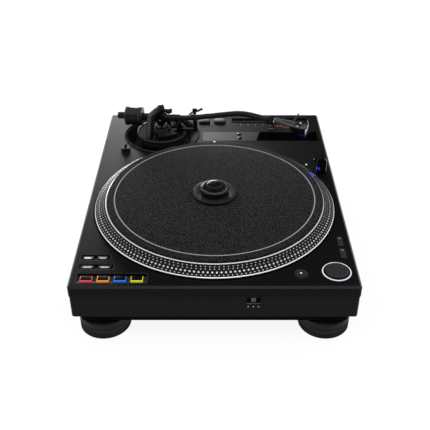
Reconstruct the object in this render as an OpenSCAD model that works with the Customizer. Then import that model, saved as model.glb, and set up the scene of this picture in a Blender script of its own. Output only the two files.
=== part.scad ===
// Direct-drive disc player with an S-shaped tone arm, laid out with the arm along the far edge.
// Millimetres. The origin is the centre of the footprint on the standing surface.
// +X is to the player's right, +Y away from the player, +Z up.

/* [Body] */
// Width of the deck, side to side
deck_w = 353; // [353:1:395]
// Height of the top casting
deck_h = 16; // [16:0.5:20]
// Thickness of the top casting's plate
plate_t = 4; // [3.5:0.1:4.2]
// Thickness of the top casting's skirt
skirt_t = 5; // [4:0.5:5.5]
// Chamfer round the top edge
deck_chamfer = 2.6; // [1:0.1:3]
// Radius of the upright corners
corner_r = 4; // [2:0.5:7]
// Step from the top casting in to the base
base_inset = 0.7; // [0.3:0.1:1.5]
// Height of the base
base_h = 32; // [32:1:42]
// Thickness of the base's walls
base_wall = 7; // [6:0.5:8]
// Width of the base's inner flange
flange_w = 16; // [14:1:20]
// Thickness of the base's inner flange
flange_t = 4; // [3:0.5:5]
// Step from the base in to the bottom cover
cover_inset = 9; // [7:0.5:11]
// Height of the bottom cover
cover_h = 14.5; // [12:0.5:16]
// Thickness of the bottom cover's sheet
cover_t = 3; // [2.5:0.5:3.5]
// Radius of the cover's screw posts
post_r = 4; // [3.5:0.1:5]
// Radius of a case screw's shank
screw_r = 1.5; // [1.2:0.1:1.8]
// Radius of a case screw's head
screw_head_r = 2.9; // [2.4:0.1:3.3]

/* [Feet] */
// Radius of a foot
foot_r = 32.7; // [29:0.1:34]
// Height of a foot's ring
foot_h = 24.25; // [20:0.25:30]
// Gap between a foot's ring and the bottom cover
foot_gap = 3; // [2:0.5:6]
// Foot centre in from the side of the deck
foot_in_x = 35.5; // [34:0.5:40]
// Foot centre in from the front or back of the deck
foot_in_y = 36; // [34:0.5:40]
// Radius of a foot's stud
stud_r = 6; // [5:0.5:7]
// Height of a foot's stud above the ring's neck
stud_h = 12; // [11:0.5:12.5]
// Radius of the groove between a foot's two bands
foot_waist_r = 32.1; // [28:0.1:32.2]

/* [Platter] */
// Deck to each side of the platter
side_margin = 10.5; // [10.5:0.5:15]
// Deck in front of the platter
front_margin = 13.6; // [13.6:0.2:20]
// Deck behind the platter, for the arm and the fader
back_margin = 107.4; // [106:0.2:130]
// Height of the platter's outer edge above the deck
platter_edge_z = 2.3; // [1:0.1:4]
// Height of the lip round the mat above the deck
platter_lip_z = 12; // [10:0.1:13]
// Width of the sloping band with the speed marks
strobe_band_w = 15.8; // [12:0.2:17]
// Height of the mat's seat above the lip
mat_step = 0.6; // [0.3:0.1:1]
// Thickness of the platter's web
web_t = 5; // [4:0.5:6]
// Gap between the platter and its well
well_gap = 2; // [1.5:0.1:2]
// Wall of the platter's well
well_wall = 3; // [2.5:0.1:3]
// Depth of the platter's well
well_depth = 11; // [10.5:0.1:11.5]
// Thickness of the well's floor
well_floor = 4; // [3:0.5:4]
// Gap between the platter's rim and the well's floor
rim_gap = 1.5; // [1:0.1:2.5]
// Radius of the record spindle
spindle_r = 3.6; // [3:0.05:3.6]
// Height of the spindle's tip above the mat
spindle_h = 9.8; // [8:0.1:11]
// Radius of the bearing shaft
shaft_r = 5; // [4:0.5:6]
// Length of the bearing shaft below the hub
shaft_l = 30; // [24:1:36]
// Clearance of the bearing shaft in its bush
bearing_clear = 0.05; // [0.03:0.01:0.08]
// Gap between the slipmat's edge and the edge of its seat
mat_gap = 0.9; // [0.6:0.1:3]
// Thickness of the slipmat
mat_t = 2.5; // [1.5:0.1:3]

/* [Motor] */
// Radius of the hole in the well's floor
motor_hole_r = 84; // [82:1:90]
// Inner radius of the magnet ring
magnet_r = 67; // [66:0.5:70]
// Wall of the magnet ring
magnet_t = 10; // [6:0.5:12]
// Height of the magnet ring
magnet_h = 16; // [12:0.5:17]
// Outer radius of the stator
stator_r = 65.5; // [60:0.5:65.5]
// Height of the stator
stator_h = 11; // [8:0.5:12]
// Number of stator teeth
teeth = 12; // [6:1:18]
// Outer radius of the bearing housing
bearing_r = 14; // [11:0.5:18]

/* [Record clamp] */
// Radius of the clamp's disc
clamp_r = 30.4; // [27:0.2:34]
// Thickness of the clamp's disc
clamp_disc_t = 4.2; // [3:0.1:5]
// Radius of the clamp's knob
knob_r = 19.7; // [18:0.1:22]
// Height of the knob's rim above the disc
knob_h = 7.8; // [7:0.1:10]
// Radius of the knob's middle boss
knob_boss_r = 11.2; // [9:0.1:12.5]
// Height of the middle boss above the rim
knob_boss_up = 5.4; // [3.5:0.1:6.5]

/* [Keys] */
// How far a key goes down
key_travel = 1.2; // [0.6:0.1:1.3]
// Gap round a key
key_gap = 0.4; // [0.3:0.05:0.5]
// Ledge round a key's lower edge
key_ledge = 1.2; // [0.9:0.1:1.3]
// Height of the keys above the deck
key_up = 1; // [0.5:0.1:2]
// Depth of the key trays
tray_depth = 5; // [4.5:0.1:5.5]
// Width of a pad
pad_w = 15.5; // [13:0.1:16.5]
// Depth of a pad
pad_d = 11.4; // [9:0.1:12]
// Spacing of the pads
pad_pitch = 20.45; // [20:0.05:20.6]
// Width of a middle-row key
row2_w = 16.7; // [13:0.1:17.2]
// Depth of a middle-row key
row2_d = 6.8; // [5:0.1:7.4]
// Spacing of the middle-row keys
row2_pitch = 21.6; // [21.2:0.1:22]
// Width of a back-row key
row1_w = 13.6; // [11:0.1:14]
// Depth of a back-row key
row1_d = 7.1; // [5:0.1:7.6]
// Spacing of the back-row keys
row1_pitch = 18.8; // [18.4:0.1:19.2]
// Width of a speed key
speed_w = 7.2; // [5:0.1:8]
// Length of a speed key
speed_d = 19.5; // [16:0.1:20.5]
// Spacing of the speed keys
speed_pitch = 24.9; // [24.4:0.1:26]
// Radius of the start and stop button
start_r = 15; // [13:0.1:15.1]
// Outer radius of the light ring round it
start_ring_r = 18.2; // [17.4:0.1:18.4]
// Radius of the motor-off button
motor_off_r = 9.4; // [8:0.1:10]
// Width of a function button
func_w = 18.2; // [16:0.1:19]
// Depth of a function button
func_d = 13.2; // [11:0.1:14]
// Spacing of the function buttons
func_pitch = 25.8; // [25:0.1:27]
// Gap between the function buttons and the fader's recess
func_gap = 10.45; // [8:0.05:14]
// Radius of the reset button
reset_r = 6.1; // [5:0.1:6.6]

/* [Tempo fader] */
// Deck between the fader's recess and the side
fader_end = 18.7; // [16:0.1:24]
// Width of the fader's recess
fader_d = 19; // [18:0.1:20]
// Depth of the fader's recess
fader_depth = 4; // [3.5:0.1:4.5]
// Width of the fader's slot
slot_w = 3; // [2.6:0.1:4]
// Width of the fader's cap along its travel
cap_w = 11; // [8:0.5:13]
// Depth of the fader's cap across its travel
cap_d = 15; // [12:0.5:16]
// Height of the fader's cap above the deck
cap_up = 5.5; // [3:0.5:7]

/* [Tone arm] */
// Distance from the platter's edge to the arm's pivot
pivot_clear = 49; // [48:0.5:51]
// Direction from the spindle to the pivot, left of straight back
pivot_turn = 23.45; // [23:0.05:24]
// Angle of the parked arm to the right of straight across, towards the player
park_turn = 6; // [5:0.5:7]
// Height of the arm's axis above the deck
arm_z = 33.7; // [33:0.1:34.4]
// Radius of the arm's tube
tube_r = 4.2; // [3.6:0.1:4.4]
// Radius of the sleeve at the pivot
sleeve_r = 5.25; // [4.8:0.05:5.4]
// Length of the sleeve from the pivot
sleeve_l = 31; // [24:0.5:33]
// Straight length before the first bend
tube_l1 = 22; // [18:0.5:24]
// Radius of the first bend
bend_r1 = 120; // [110:1:130]
// Angle of the first bend
bend_a1 = 18; // [16:0.2:20]
// Straight length between the bends
tube_l2 = 55; // [50:0.5:60]
// Radius of the second bend
bend_r2 = 45; // [40:0.5:50]
// Angle of the second bend
bend_a2 = 42; // [40:0.5:44]
// Straight length after the second bend, up to the collar
tube_l3 = 30; // [26:0.5:32]
// Radius of the well the arm stands in
arm_well_r = 61.4; // [60.5:0.1:62]
// Well centre behind the pivot
arm_well_back = 5.6; // [4:0.1:7]
// Depth of the arm's well
arm_well_depth = 8; // [7:0.1:9]
// Radius of the height ring
height_ring_r = 40.2; // [38.8:0.1:40.5]
// Height of the height ring's top above the deck
height_ring_z = 10; // [9:0.1:10.2]
// Radius of the arm base's plate
arm_plate_r = 36.4; // [35.6:0.1:36.5]
// Radius of the arm base's column
column_r = 24; // [23:0.1:24.5]
// Travel of the arm's height setting
height_travel = 6; // [4:0.5:6]
// Radius of the bearing tower
tower_r = 14; // [12:0.1:14.2]
// Height of the skating scale's housing on the arm base
scale_h = 7.5; // [6:0.1:7.5]
// Width of the pivot bridge
bridge_w = 9.6; // [8:0.1:11]
// Radius of the cap on the pivot bridge
pivot_cap_r = 4.6; // [4:0.1:5]
// Radius of the gimbal ring
gimbal_r = 13.2; // [13:0.1:13.6]
// Width of the gimbal ring along the arm
gimbal_w = 9; // [7:0.1:9.4]
// Radius of the pivot pins
pin_r = 1.8; // [1.4:0.1:2]
// Clearance of the pivot pins
pin_clear = 0.05; // [0.03:0.01:0.08]
// Radius of the counterweight's stub
stub_r = 5.5; // [4.6:0.1:5.6]
// Length of the stub behind the counterweight at the end of its travel
stub_over = 8.9; // [6:0.1:11]
// Radius of the counterweight
weight_r = 15.1; // [13.6:0.1:16]
// Length of the counterweight
weight_l = 20.4; // [18:0.1:22]
// Radius of the hollow inside the counterweight
weight_hollow_r = 7; // [6.6:0.1:9.6]
// Length of the tracking force dial
dial_l = 6.5; // [5:0.1:7]
// Gap between the pivot and the dial
dial_gap = 30; // [29:0.1:31]
// Travel of the counterweight to each side
weight_travel = 4; // [2:0.5:4]
// Radius of the cueing column
cue_column_r = 3.2; // [2.6:0.1:3.6]
// Radius of the disc on the cueing column
cue_disc_r = 6.2; // [5:0.1:6.4]
// Height of the cueing column above the deck
cue_column_z = 39; // [37:0.5:40]
// How far the lifter bar goes down
lift_travel = 8; // [5:0.5:8]
// Radius of the anti-skating knob
skate_r = 6; // [5:0.1:6.2]
// Height of the anti-skating knob
skate_h = 6.4; // [5:0.1:7]
// Arm rest out from the pivot along the arm
rest_x = 54.5; // [51:0.5:56]
// Width of the arm rest along the arm
rest_w = 4.8; // [4.4:0.2:6]

/* [Headshell] */
// Radius of the locking collar
collar_r = 6.3; // [5.8:0.1:6.8]
// Length of the locking collar
collar_l = 10.7; // [10:0.1:11]
// Length of the headshell in front of the collar
shell_l = 53.5; // [51:0.5:56]
// Width of the headshell
shell_w = 17.4; // [16:0.1:19]
// Top of the headshell's plate above the arm's axis
shell_up = 4.7; // [4:0.1:5]
// Thickness of the headshell's plate
shell_t = 3.2; // [2.4:0.1:3.6]
// Length of the cartridge
cart_l = 26; // [22:0.5:27]
// Width of the cartridge
cart_w = 15.6; // [13:0.1:16]
// Height of the cartridge's body
cart_h = 10; // [9:0.1:10.6]
// Stylus tip below the arm's axis
stylus_drop = 15.6; // [15:0.1:15.7]
// Radius of a headshell lead
lead_r = 0.55; // [0.4:0.05:0.6]

/* [Small fittings] */
// Width of the strobe tower
strobe_w = 13.5; // [11:0.1:14]
// Depth of the strobe tower
strobe_d = 15; // [12:0.1:16]
// Height of the strobe tower
strobe_h = 27; // [22:0.5:30]
// Radius of the target light
target_r = 3.3; // [2.8:0.1:3.8]
// How far the target light rises
target_travel = 30; // [20:1:30]
// Height of the target light's top above the deck when down
target_up = 3.6; // [2:0.1:5]
// Radius of the shell post's flange
shell_post_r = 7.5; // [6:0.1:8.5]
// Height of the shell post
shell_post_h = 8.7; // [7:0.1:11]
// Width of the opening of the front switch
switch_w = 15.6; // [15:0.1:17]
// Height of the opening of the front switch
switch_h = 7.2; // [6.6:0.1:8]
// Travel of the front switch to each side
switch_travel = 4.5; // [3:0.1:4.6]
// Width of the front switch's nub
nub_w = 5.8; // [4.5:0.1:6]
// Width of the jack bay
bay_w = 130; // [129:0.5:134]
// Height of the jack bay
bay_h = 24; // [22:0.5:24]
// Depth of the jack bay
bay_d = 15; // [14:0.5:17]
// Radius of a phono jack's barrel
jack_r = 4.15; // [4:0.05:4.2]
// Length of a phono jack's barrel
jack_l = 9; // [8:0.5:10]

/* [Hidden] */
$fn = 72;
side = deck_w / 2;
platter_r = side - side_margin;
deck_d = 2 * platter_r + front_margin + back_margin;
front = -deck_d / 2;
back = deck_d / 2;
// Heights of the joints between the body's layers, and of the deck's top
cover_z = foot_h + foot_gap;
base_z = cover_z + cover_h;
deck_z = base_z + base_h;
top = deck_z + deck_h;
under = top - plate_t;
base_w = deck_w - 2 * base_inset;
base_d = deck_d - 2 * base_inset;
cover_w = base_w - 2 * cover_inset;
cover_d = base_d - 2 * cover_inset;
// Platter
py = front + front_margin + platter_r;
well_r = platter_r + well_gap;
well_out = well_r + well_wall;
lip_r = platter_r - strobe_band_w;
seat_r = lip_r - 1;
mat_r = seat_r - mat_gap;
seat_z = top + platter_lip_z + mat_step;
mat_z = seat_z + mat_t;
well_z = top - well_depth;
floor_z = well_z - well_floor;
rim_z = well_z + rim_gap;
hub_r = 20;
hub_z = seat_z - 12;
// Height of the motor plate's top, against the underside of the well's floor
motor_t = 3.5;
motor_plate_r = motor_hole_r + 6;
bearing_top = hub_z - 1;
bearing_low = hub_z - shaft_l - 4;
// Tone arm pivot
pivot_dist = platter_r + pivot_clear;
pivot_x = -pivot_dist * sin(pivot_turn);
pivot_y = py + pivot_dist * cos(pivot_turn);
// Keys: tops, ledges and the places they press
key_top = top + key_up;
ledge_t = 1.5;
ledge_gap = 0.3;
press_gap = key_travel + 0.4;
plate_press = under - 4;
tray_floor = top - tray_depth;
tray_floor_t = 2;
tray_press = tray_floor - tray_floor_t - 2.2;
board_t = 1.6;
board_z = top - 14;
pads_x = -side + 52;
pads_y = front + 14.75;
pads_n = 4;
pads_in_w = 87;
pads_in_d = 19;
row2_x = -side + 30.2;
row2_y = front + 37.8;
row2_in_w = 45.1;
row2_in_d = 11.6;
row1_x = -side + 27.1;
row1_y = front + 56.05;
row1_in_w = 39;
row1_in_d = 12;
speed_x = side - 14.1;
speed_y = front + 90.25;
start_x = side - 27;
start_y = front + 29.5;
off_x = start_x - 44.1;
off_y = start_y - 4;
func_x = pivot_x + arm_well_r + 7;
func_y = back - 25.2;
fader_x0 = func_x + func_pitch + func_w / 2 + func_gap;
fader_l = side - fader_end - fader_x0;
fader_x = fader_x0 + fader_l / 2;
fader_y = back - 24;
fader_travel = fader_l / 2 - 14.8;
reset_x = fader_x;
reset_y = back - 52.8;
lens_clear = 0.15;
// Display strip
strip_y = back - 78.7;
strip_d = 29;
strip_slant = 7.8;
label_x0 = pivot_x + arm_well_r + 5.2;
label_x1 = side - 109.1;
glass_x1 = side - 9.6;
strip_t = 1.2;
// Tone arm's frames
arm_top = top + arm_z;
b1 = [tube_l1 + bend_r1 * sin(bend_a1), bend_r1 * (1 - cos(bend_a1))];
b2 = b1 + tube_l2 * [cos(bend_a1), sin(bend_a1)];
c2 = b2 + bend_r2 * [sin(bend_a1), -cos(bend_a1)];
end_a = bend_a1 - bend_a2;
b3 = c2 + bend_r2 * [-sin(end_a), cos(end_a)];
b4 = b3 + tube_l3 * [cos(end_a), sin(end_a)];
stub_l = dial_gap + dial_l + 0.3 + weight_l + weight_travel + stub_over;
dish_z = top - arm_well_depth;
dish_t = 2.5;
dish_flat = height_ring_r + arm_well_back + 1.2;
arm_plate_t = 5.5;
guide_clear = 0.3;
run_gap = 0.4;
ring_bore = arm_plate_r + 0.4;
ring_web = 3.6;
tower_h = 7;
bridge_a = 241;
gimbal_in = gimbal_r - 4.1;
block_r = 7.8;
cue_at = [8.3, 18.9];
rod_at = [28.6, 9.6];
rod_r = 2.2;
lever_at = [22, 23];
skate_at = [19.5, -6.2];
arc_r = 29;
rest_a = asin((rest_x - tube_l1) / bend_r1);
rest_y = bend_r1 * (1 - cos(rest_a));
rest_under = arm_top - tube_r - 0.8;
clip_y = tube_r + 2.9;
clip_z = arm_top + 7.8;
// Rear fittings
jack_z = base_z + base_h / 2 + 1.5;
bay_y = base_d / 2 - bay_d;
jack_x = [-46, -32, -18, -4];
ground_x = -58;
usb_x = 12;
inlet_x = 31.5;
rocker_x = 53;
rocker_w = 12.6;
// Strobe tower, target light, shell post and front switch
strobe_x = side - 17.5;
strobe_y = py + platter_r * 0.511;
target_x = side - 20.7;
target_y = py + platter_r * 0.696;
post_x = pivot_x - 54.8;
post_y = pivot_y - 44.4;
switch_x = 47.1;
switch_z = deck_z - 5.3;
// Places of the deck screws
deck_screws = [[-side + 14.5, py + 167], [side - 14.5, py + 167], [-60, front + 10.5], [60, front + 10.5]];
foot_x = side - foot_in_x;
foot_y = back - foot_in_y;
post_in = cover_t + post_r + 0.6;
cover_posts = [
    for (x = [-1, 1], y = [-0.62, -0.2, 0.2, 0.62]) [x * (cover_w / 2 - post_in), y * (cover_d / 2 - post_in)]
];
// Round lenses in the deck: place and radius
lenses = [
    [side - 36.8, py + 105.1, 1.6], [reset_x, reset_y + 11.3, 1.2], [reset_x + 12.2, reset_y + 9.4, 0.9]
];
// Square lens just behind the platter: place and width
marker = [-0.3, py + well_out + 5.5, 3.4];
// Round lenses in the label strip: place and radius
strip_lenses = [[40.3, strip_y + 7, 3.6], [40.3, strip_y - 6, 3.6]];
// Places of the posts that carry the main and the supply board
board_posts = [
    [5, 80], [135, 80], [5, 160], [135, 160], [-120, 60], [-30, 60], [-120, 120], [-30, 120]
];
// Radius of the guide sleeve round the arm base's column
sleeve_out = column_r + guide_clear + 2.7;
// Cartridge and leads: where the pins stand out and where the leads end
cart_x0 = collar_l + 0.9 + shell_l + 1.6 - cart_l;
lead_y = [-4.8, -1.7, 1.7, 4.8];
shell_low = shell_up - shell_t;
lead_z = shell_low - 4.5;
lead_end = cart_x0 - 3.6;
lead_bend = 4.2;
terminal_x = lead_end - 2 * lead_bend;

// A box centred on x and y, standing on z
module block(x, y, z, w, d, h) {
    translate([x - w / 2, y - d / 2, z]) cube([w, d, h]);
}

// An upright cylinder standing on z
module post(x, y, z, r, h) {
    translate([x, y, z]) cylinder(r = r, h = h);
}

// A plan outline with rounded corners, centred
module plan(w, d, r) {
    square([w - 2 * r, d], center = true);
    square([w, d - 2 * r], center = true);
    for (x = [-1, 1], y = [-1, 1]) translate([x * (w / 2 - r), y * (d / 2 - r)]) circle(r = r);
}

// The four mirrored places of a point
module corners() {
    for (x = [-1, 1], y = [-1, 1]) translate([x * foot_x, y * foot_y, 0]) children();
}

// Frame of the arm: pivot at the origin, +X out along the parked arm, z = 0 at the deck's top
module arm_frame() {
    translate([pivot_x, pivot_y, top]) rotate([0, 0, -park_turn]) children();
}

// Frame of the tube: as the arm's frame, with z = 0 on the arm's axis
module tube_frame() {
    translate([pivot_x, pivot_y, arm_top]) rotate([0, 0, -park_turn]) children();
}

// Frame of the headshell: origin where the collar starts, +X out along the shell
module shell_frame() {
    tube_frame() translate([b4[0], b4[1], 0]) rotate([0, 0, end_a]) children();
}

// Frame of the arm rest: under the tube, turned along it
module rest_frame() {
    translate([pivot_x, pivot_y, 0]) rotate([0, 0, -park_turn]) translate([rest_x, rest_y, 0])
        rotate([0, 0, rest_a]) children();
}

// A cylinder along +X from x0 to x1
module rod_x(x0, x1, r) {
    translate([x0, 0, 0]) rotate([0, 90, 0]) cylinder(r = r, h = x1 - x0);
}

// A cylinder along +Y from y0 to y1
module rod_y(y0, y1, r) {
    translate([0, y0, 0]) rotate([-90, 0, 0]) cylinder(r = r, h = y1 - y0);
}

// Body

module strip_plan(x0, x1, y0, y1, slant0, slant1) {
    polygon([[x0, y0], [x1, y0], [x1 + slant1, y1], [x0 + slant0, y1]]);
}

module label_plan(grow) {
    strip_plan(label_x0 - grow, label_x1 - 1.6 + grow, strip_y - strip_d / 2 - grow,
        strip_y + strip_d / 2 + grow, 0, strip_slant);
}

module glass_plan(grow) {
    strip_plan(label_x1 - grow, glass_x1 + grow, strip_y - strip_d / 2 - grow,
        strip_y + strip_d / 2 + grow, strip_slant, 0);
}

module deck_outline() {
    intersection() {
        translate([0, 0, deck_z]) linear_extrude(deck_h) plan(deck_w, deck_d, corner_r);
        chamfered(deck_w, deck_d);
        rotate([0, 0, 90]) chamfered(deck_d, deck_w);
    }
}

// A bar along Y whose two long top edges are chamfered
module chamfered(w, d) {
    translate([0, d / 2, 0]) rotate([90, 0, 0]) linear_extrude(d) polygon([
        [-w / 2, deck_z], [w / 2, deck_z], [w / 2, top - deck_chamfer],
        [w / 2 - deck_chamfer, top], [-w / 2 + deck_chamfer, top], [-w / 2, top - deck_chamfer]
    ]);
}

module deck_cavity() {
    difference() {
        block(0, 0, deck_z - 1, deck_w - 2 * skirt_t, deck_d - 2 * skirt_t, under - deck_z + 1);
        post(0, py, floor_z, well_out, deck_h);
        for (p = deck_screws) post(p[0], p[1], deck_z, 5, deck_h);
    }
}

module arm_opening(r, z, h) {
    difference() {
        post(pivot_x, pivot_y + arm_well_back, z, r, h);
        post(0, py, z - 1, well_out + 0.3, h + 2);
    }
}

module deck_openings() {
    through = plate_t + 2;
    z = under - 1;
    block(pads_x, pads_y + 2.25, z, pads_in_w, pads_in_d, through);
    block(row2_x, row2_y + 0.8, z, row2_in_w, row2_in_d, through);
    block(row1_x, row1_y + 0.85, z, row1_in_w, row1_in_d, through);
    for (i = [0, 1])
        block(speed_x, speed_y - i * speed_pitch, z, speed_w + 2 * key_gap, speed_d + 2 * key_gap, through);
    post(start_x, start_y, z, start_ring_r + lens_clear, through);
    post(off_x, off_y, z, motor_off_r + key_gap, through);
    for (i = [0, 1])
        block(func_x + i * func_pitch, func_y, z, func_w + 2 * key_gap, func_d + 2 * key_gap, through);
    post(reset_x, reset_y, z, reset_r + key_gap, through);
    block(fader_x, fader_y, z, fader_l, fader_d, through);
    post(target_x, target_y, z, target_r + 0.4, through);
    post(strobe_x, strobe_y, z, 3.2, through);
    post(post_x, post_y, z, 3.2, through);
    for (p = lenses) post(p[0], p[1], z, p[2] + lens_clear, through);
    block(marker[0], marker[1], z, marker[2] + 2 * lens_clear, marker[2] + 2 * lens_clear, through);
}

module deck_plate() {
    color("#26272a") difference() {
        deck_outline();
        deck_cavity();
        post(0, py, well_z, well_r, deck_h);
        post(0, py, floor_z - 1, motor_hole_r, deck_h);
        arm_opening(arm_well_r - 1.4, under - 1, plate_t + 2);
        deck_openings();
        translate([0, 0, top - strip_t]) linear_extrude(strip_t + 1) label_plan(0.15);
        translate([0, 0, top - strip_t]) linear_extrude(strip_t + 1) glass_plan(0.15);
        for (p = strip_lenses) post(p[0], p[1], under - 1, p[2] + lens_clear, plate_t + 2);
        for (p = deck_screws) post(p[0], p[1], deck_z - 1, screw_r + 0.1, deck_h - plate_t);
    }
}

module base_chassis() {
    color("#1c1d1f") difference() {
        union() {
            difference() {
                translate([0, 0, base_z]) linear_extrude(base_h) plan(base_w, base_d, corner_r);
                block(0, 0, base_z + flange_t, base_w - 2 * base_wall, base_d - 2 * base_wall, base_h);
                block(0, 0, base_z - 1, base_w - 2 * base_wall - 2 * flange_w,
                    base_d - 2 * base_wall - 2 * flange_w, base_h);
            }
            for (p = deck_screws) post(p[0], p[1], base_z, 7, base_h);
        }
        for (p = deck_screws) {
            post(p[0], p[1], base_z - 1, screw_r + 0.15, base_h + 2);
            post(p[0], p[1], base_z - 1, screw_head_r + 0.3, 3.5);
        }
        for (p = cover_posts) post(p[0], p[1], base_z - 1, screw_r + 0.1, flange_t + 2);
        front_window();
        translate([0, base_d / 2 - base_wall / 2, jack_z])
            cube([bay_w + 0.4, base_wall + 2, bay_h + 0.4], center = true);
    }
}

// The front switch's window: a shallow frame, the opening and the pocket behind the wall
module front_window() {
    wall = -base_d / 2;
    translate([switch_x, wall, switch_z]) {
        cube([switch_w + 2, 1.6, switch_h + 3.4], center = true);
        cube([switch_w, base_wall * 3, switch_h], center = true);
        translate([0, base_wall / 2 + 2.4, 0])
            cube([switch_w + 4 * switch_travel + 0.8, base_wall, switch_h + 5], center = true);
    }
}

module bottom_cover() {
    color("#141415") difference() {
        union() {
            difference() {
                translate([0, 0, cover_z]) linear_extrude(cover_h) plan(cover_w, cover_d, corner_r);
                block(0, 0, cover_z + cover_t, cover_w - 2 * cover_t, cover_d - 2 * cover_t, cover_h);
            }
            for (p = cover_posts) post(p[0], p[1], cover_z, post_r, cover_h);
            corners() translate([0, 0, cover_z]) cylinder(r = stud_r + 7, h = cover_h - 0.2);
            for (p = board_posts) post(p[0], p[1], cover_z, 3.5, cover_t + 3);
        }
        for (p = cover_posts) {
            post(p[0], p[1], cover_z - 1, screw_r + 0.15, cover_h + 2);
            post(p[0], p[1], cover_z - 1, screw_head_r + 0.3, 3);
        }
        corners() translate([0, 0, cover_z - 1]) cylinder(r = stud_r + guide_clear, h = cover_h + 2);
    }
}

// Screws of the bottom cover and of the deck, heads down
module case_screws() {
    color("#2a2a2c") {
        for (p = cover_posts) translate([p[0], p[1], cover_z + 0.2]) screw(cover_h + flange_t - 1.2);
        for (p = deck_screws) translate([p[0], p[1], base_z + 0.7]) screw(base_h + deck_h - plate_t - 3);
    }
}

module screw(l) {
    difference() {
        union() {
            cylinder(r = screw_head_r, h = 1.8);
            cylinder(r = screw_r, h = l);
        }
        translate([0, 0, -1]) cylinder(r = 1.3, h = 2.2, $fn = 6);
    }
}

// One foot: two bands with a groove between, a neck and a stud
module foot(x, y) {
    neck = foot_gap - 0.4;
    color("#111112") translate([x * foot_x, y * foot_y, 0]) {
        rotate_extrude() polygon([
            [0, 0], [foot_r - 3, 0], [foot_r - 2.4, 1.5], [foot_r - 0.6, 1.5], [foot_r, 2.1],
            [foot_r, foot_h * 0.66], [foot_waist_r, foot_h * 0.68], [foot_waist_r, foot_h * 0.7],
            [foot_r, foot_h * 0.72], [foot_r, foot_h - 1], [foot_r - 1, foot_h], [foot_r - 9, foot_h],
            [foot_r - 9, foot_h + neck], [stud_r, foot_h + neck], [stud_r, foot_h + neck + stud_h],
            [0, foot_h + neck + stud_h]
        ]);
    }
}

// Platter and motor

module platter() {
    web_z = seat_z - web_t;
    color("#b9babc") translate([0, py, 0]) rotate_extrude($fn = 144) polygon([
        [spindle_r + 0.05, seat_z], [seat_r, seat_z], [seat_r, top + platter_lip_z],
        [lip_r, top + platter_lip_z], [platter_r - 0.6, top + platter_edge_z],
        [platter_r, top + platter_edge_z - 0.6], [platter_r, top - 2.5], [platter_r - 3, rim_z],
        [lip_r - 4, rim_z], [lip_r - 9, web_z], [hub_r, web_z], [hub_r, hub_z], [spindle_r + 0.05, hub_z]
    ]);
}

module rotor_magnet() {
    magnet_z = seat_z - web_t - magnet_h;
    color("#4a4b4e") translate([0, py, magnet_z]) difference() {
        cylinder(r = magnet_r + magnet_t, h = magnet_h);
        translate([0, 0, -1]) cylinder(r = magnet_r, h = magnet_h + 2);
    }
}

module spindle() {
    color("#d5d7da") translate([0, py, 0]) rotate_extrude() polygon([
        [0, hub_z - shaft_l], [shaft_r, hub_z - shaft_l], [shaft_r, hub_z], [spindle_r, hub_z],
        [spindle_r, mat_z + spindle_h - 2], [spindle_r - 1.4, mat_z + spindle_h], [0, mat_z + spindle_h]
    ]);
}

module spindle_bearing() {
    color("#8d8f92") translate([0, py, 0]) difference() {
        post(0, 0, bearing_low, bearing_r, bearing_top - bearing_low);
        post(0, 0, hub_z - shaft_l - 0.3, shaft_r + bearing_clear, shaft_l + 5);
    }
}

module motor_stator() {
    plate_z = floor_z - motor_t;
    stator_z = floor_z + 1;
    color("#7a4a2a") translate([0, py, 0]) difference() {
        union() {
            post(0, 0, plate_z, motor_plate_r, motor_t);
            difference() {
                post(0, 0, floor_z - 1, bearing_r + 12, stator_h + 2);
                post(0, 0, floor_z, bearing_r, stator_h + 4);
            }
            for (i = [0 : teeth - 1]) rotate([0, 0, i * 360 / teeth]) {
                translate([bearing_r + 10, -2.5, stator_z]) cube([stator_r - bearing_r - 12, 5, stator_h]);
                translate([bearing_r + 17, -4.5, stator_z + 0.5]) cube([20, 9, stator_h - 1]);
            }
            difference() {
                post(0, 0, stator_z, stator_r, stator_h);
                post(0, 0, stator_z - 1, stator_r - 5, stator_h + 2);
                for (i = [0 : teeth - 1]) rotate([0, 0, (i + 0.5) * 360 / teeth])
                    translate([stator_r - 8, -2, stator_z - 1]) cube([12, 4, stator_h + 2]);
            }
        }
        post(0, 0, plate_z - 1, bearing_r, motor_t + 40);
    }
}

module slipmat() {
    color("#2b2b2d") translate([0, py, seat_z]) difference() {
        cylinder(r = mat_r, h = mat_t, $fn = 144);
        translate([0, 0, -1]) cylinder(r = spindle_r + 0.3, h = mat_t + 2);
    }
}

module record_clamp() {
    rim = mat_z + clamp_disc_t + knob_h;
    waist = mat_z + clamp_disc_t;
    boss = rim + knob_boss_up;
    well = rim - 2.6;
    color("#0c0c0d") translate([0, py, 0]) rotate_extrude() polygon([
        [0, mat_z + spindle_h + 0.8], [spindle_r + 0.3, mat_z + spindle_h + 0.8], [spindle_r + 0.3, mat_z],
        [clamp_r, mat_z], [clamp_r, waist - 0.8], [clamp_r - 0.8, waist], [knob_r - 1.2, waist + 0.4],
        [knob_r - 1.8, waist + 1.4], [knob_r - 1.6, waist + knob_h / 2],
        [knob_r, rim - 2.4], [knob_r, rim - 1.2],
        [knob_r - 1.5, rim], [knob_r - 2.3, rim], [knob_r - 3, rim - 0.8], [knob_boss_r + 1, well],
        [knob_boss_r, well], [knob_boss_r, boss - 3], [knob_boss_r - 1.2, boss - 1.4],
        [knob_boss_r - 4, boss - 0.3], [0, boss]
    ]);
}

// Keys

// A key with a square top in a hole of a sheet whose underside is at z, pressing down at press
module square_key(x, y, w, d, up, z, press) {
    ledge_z = z - ledge_gap - ledge_t;
    block(x, y, ledge_z, w, d, up - ledge_z);
    grow = 2 * (key_gap + key_ledge - 0.4);
    block(x, y, ledge_z, w + grow, d + grow, ledge_t);
    post(x, y, press, 1.6, ledge_z - press + 0.5);
}

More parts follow.
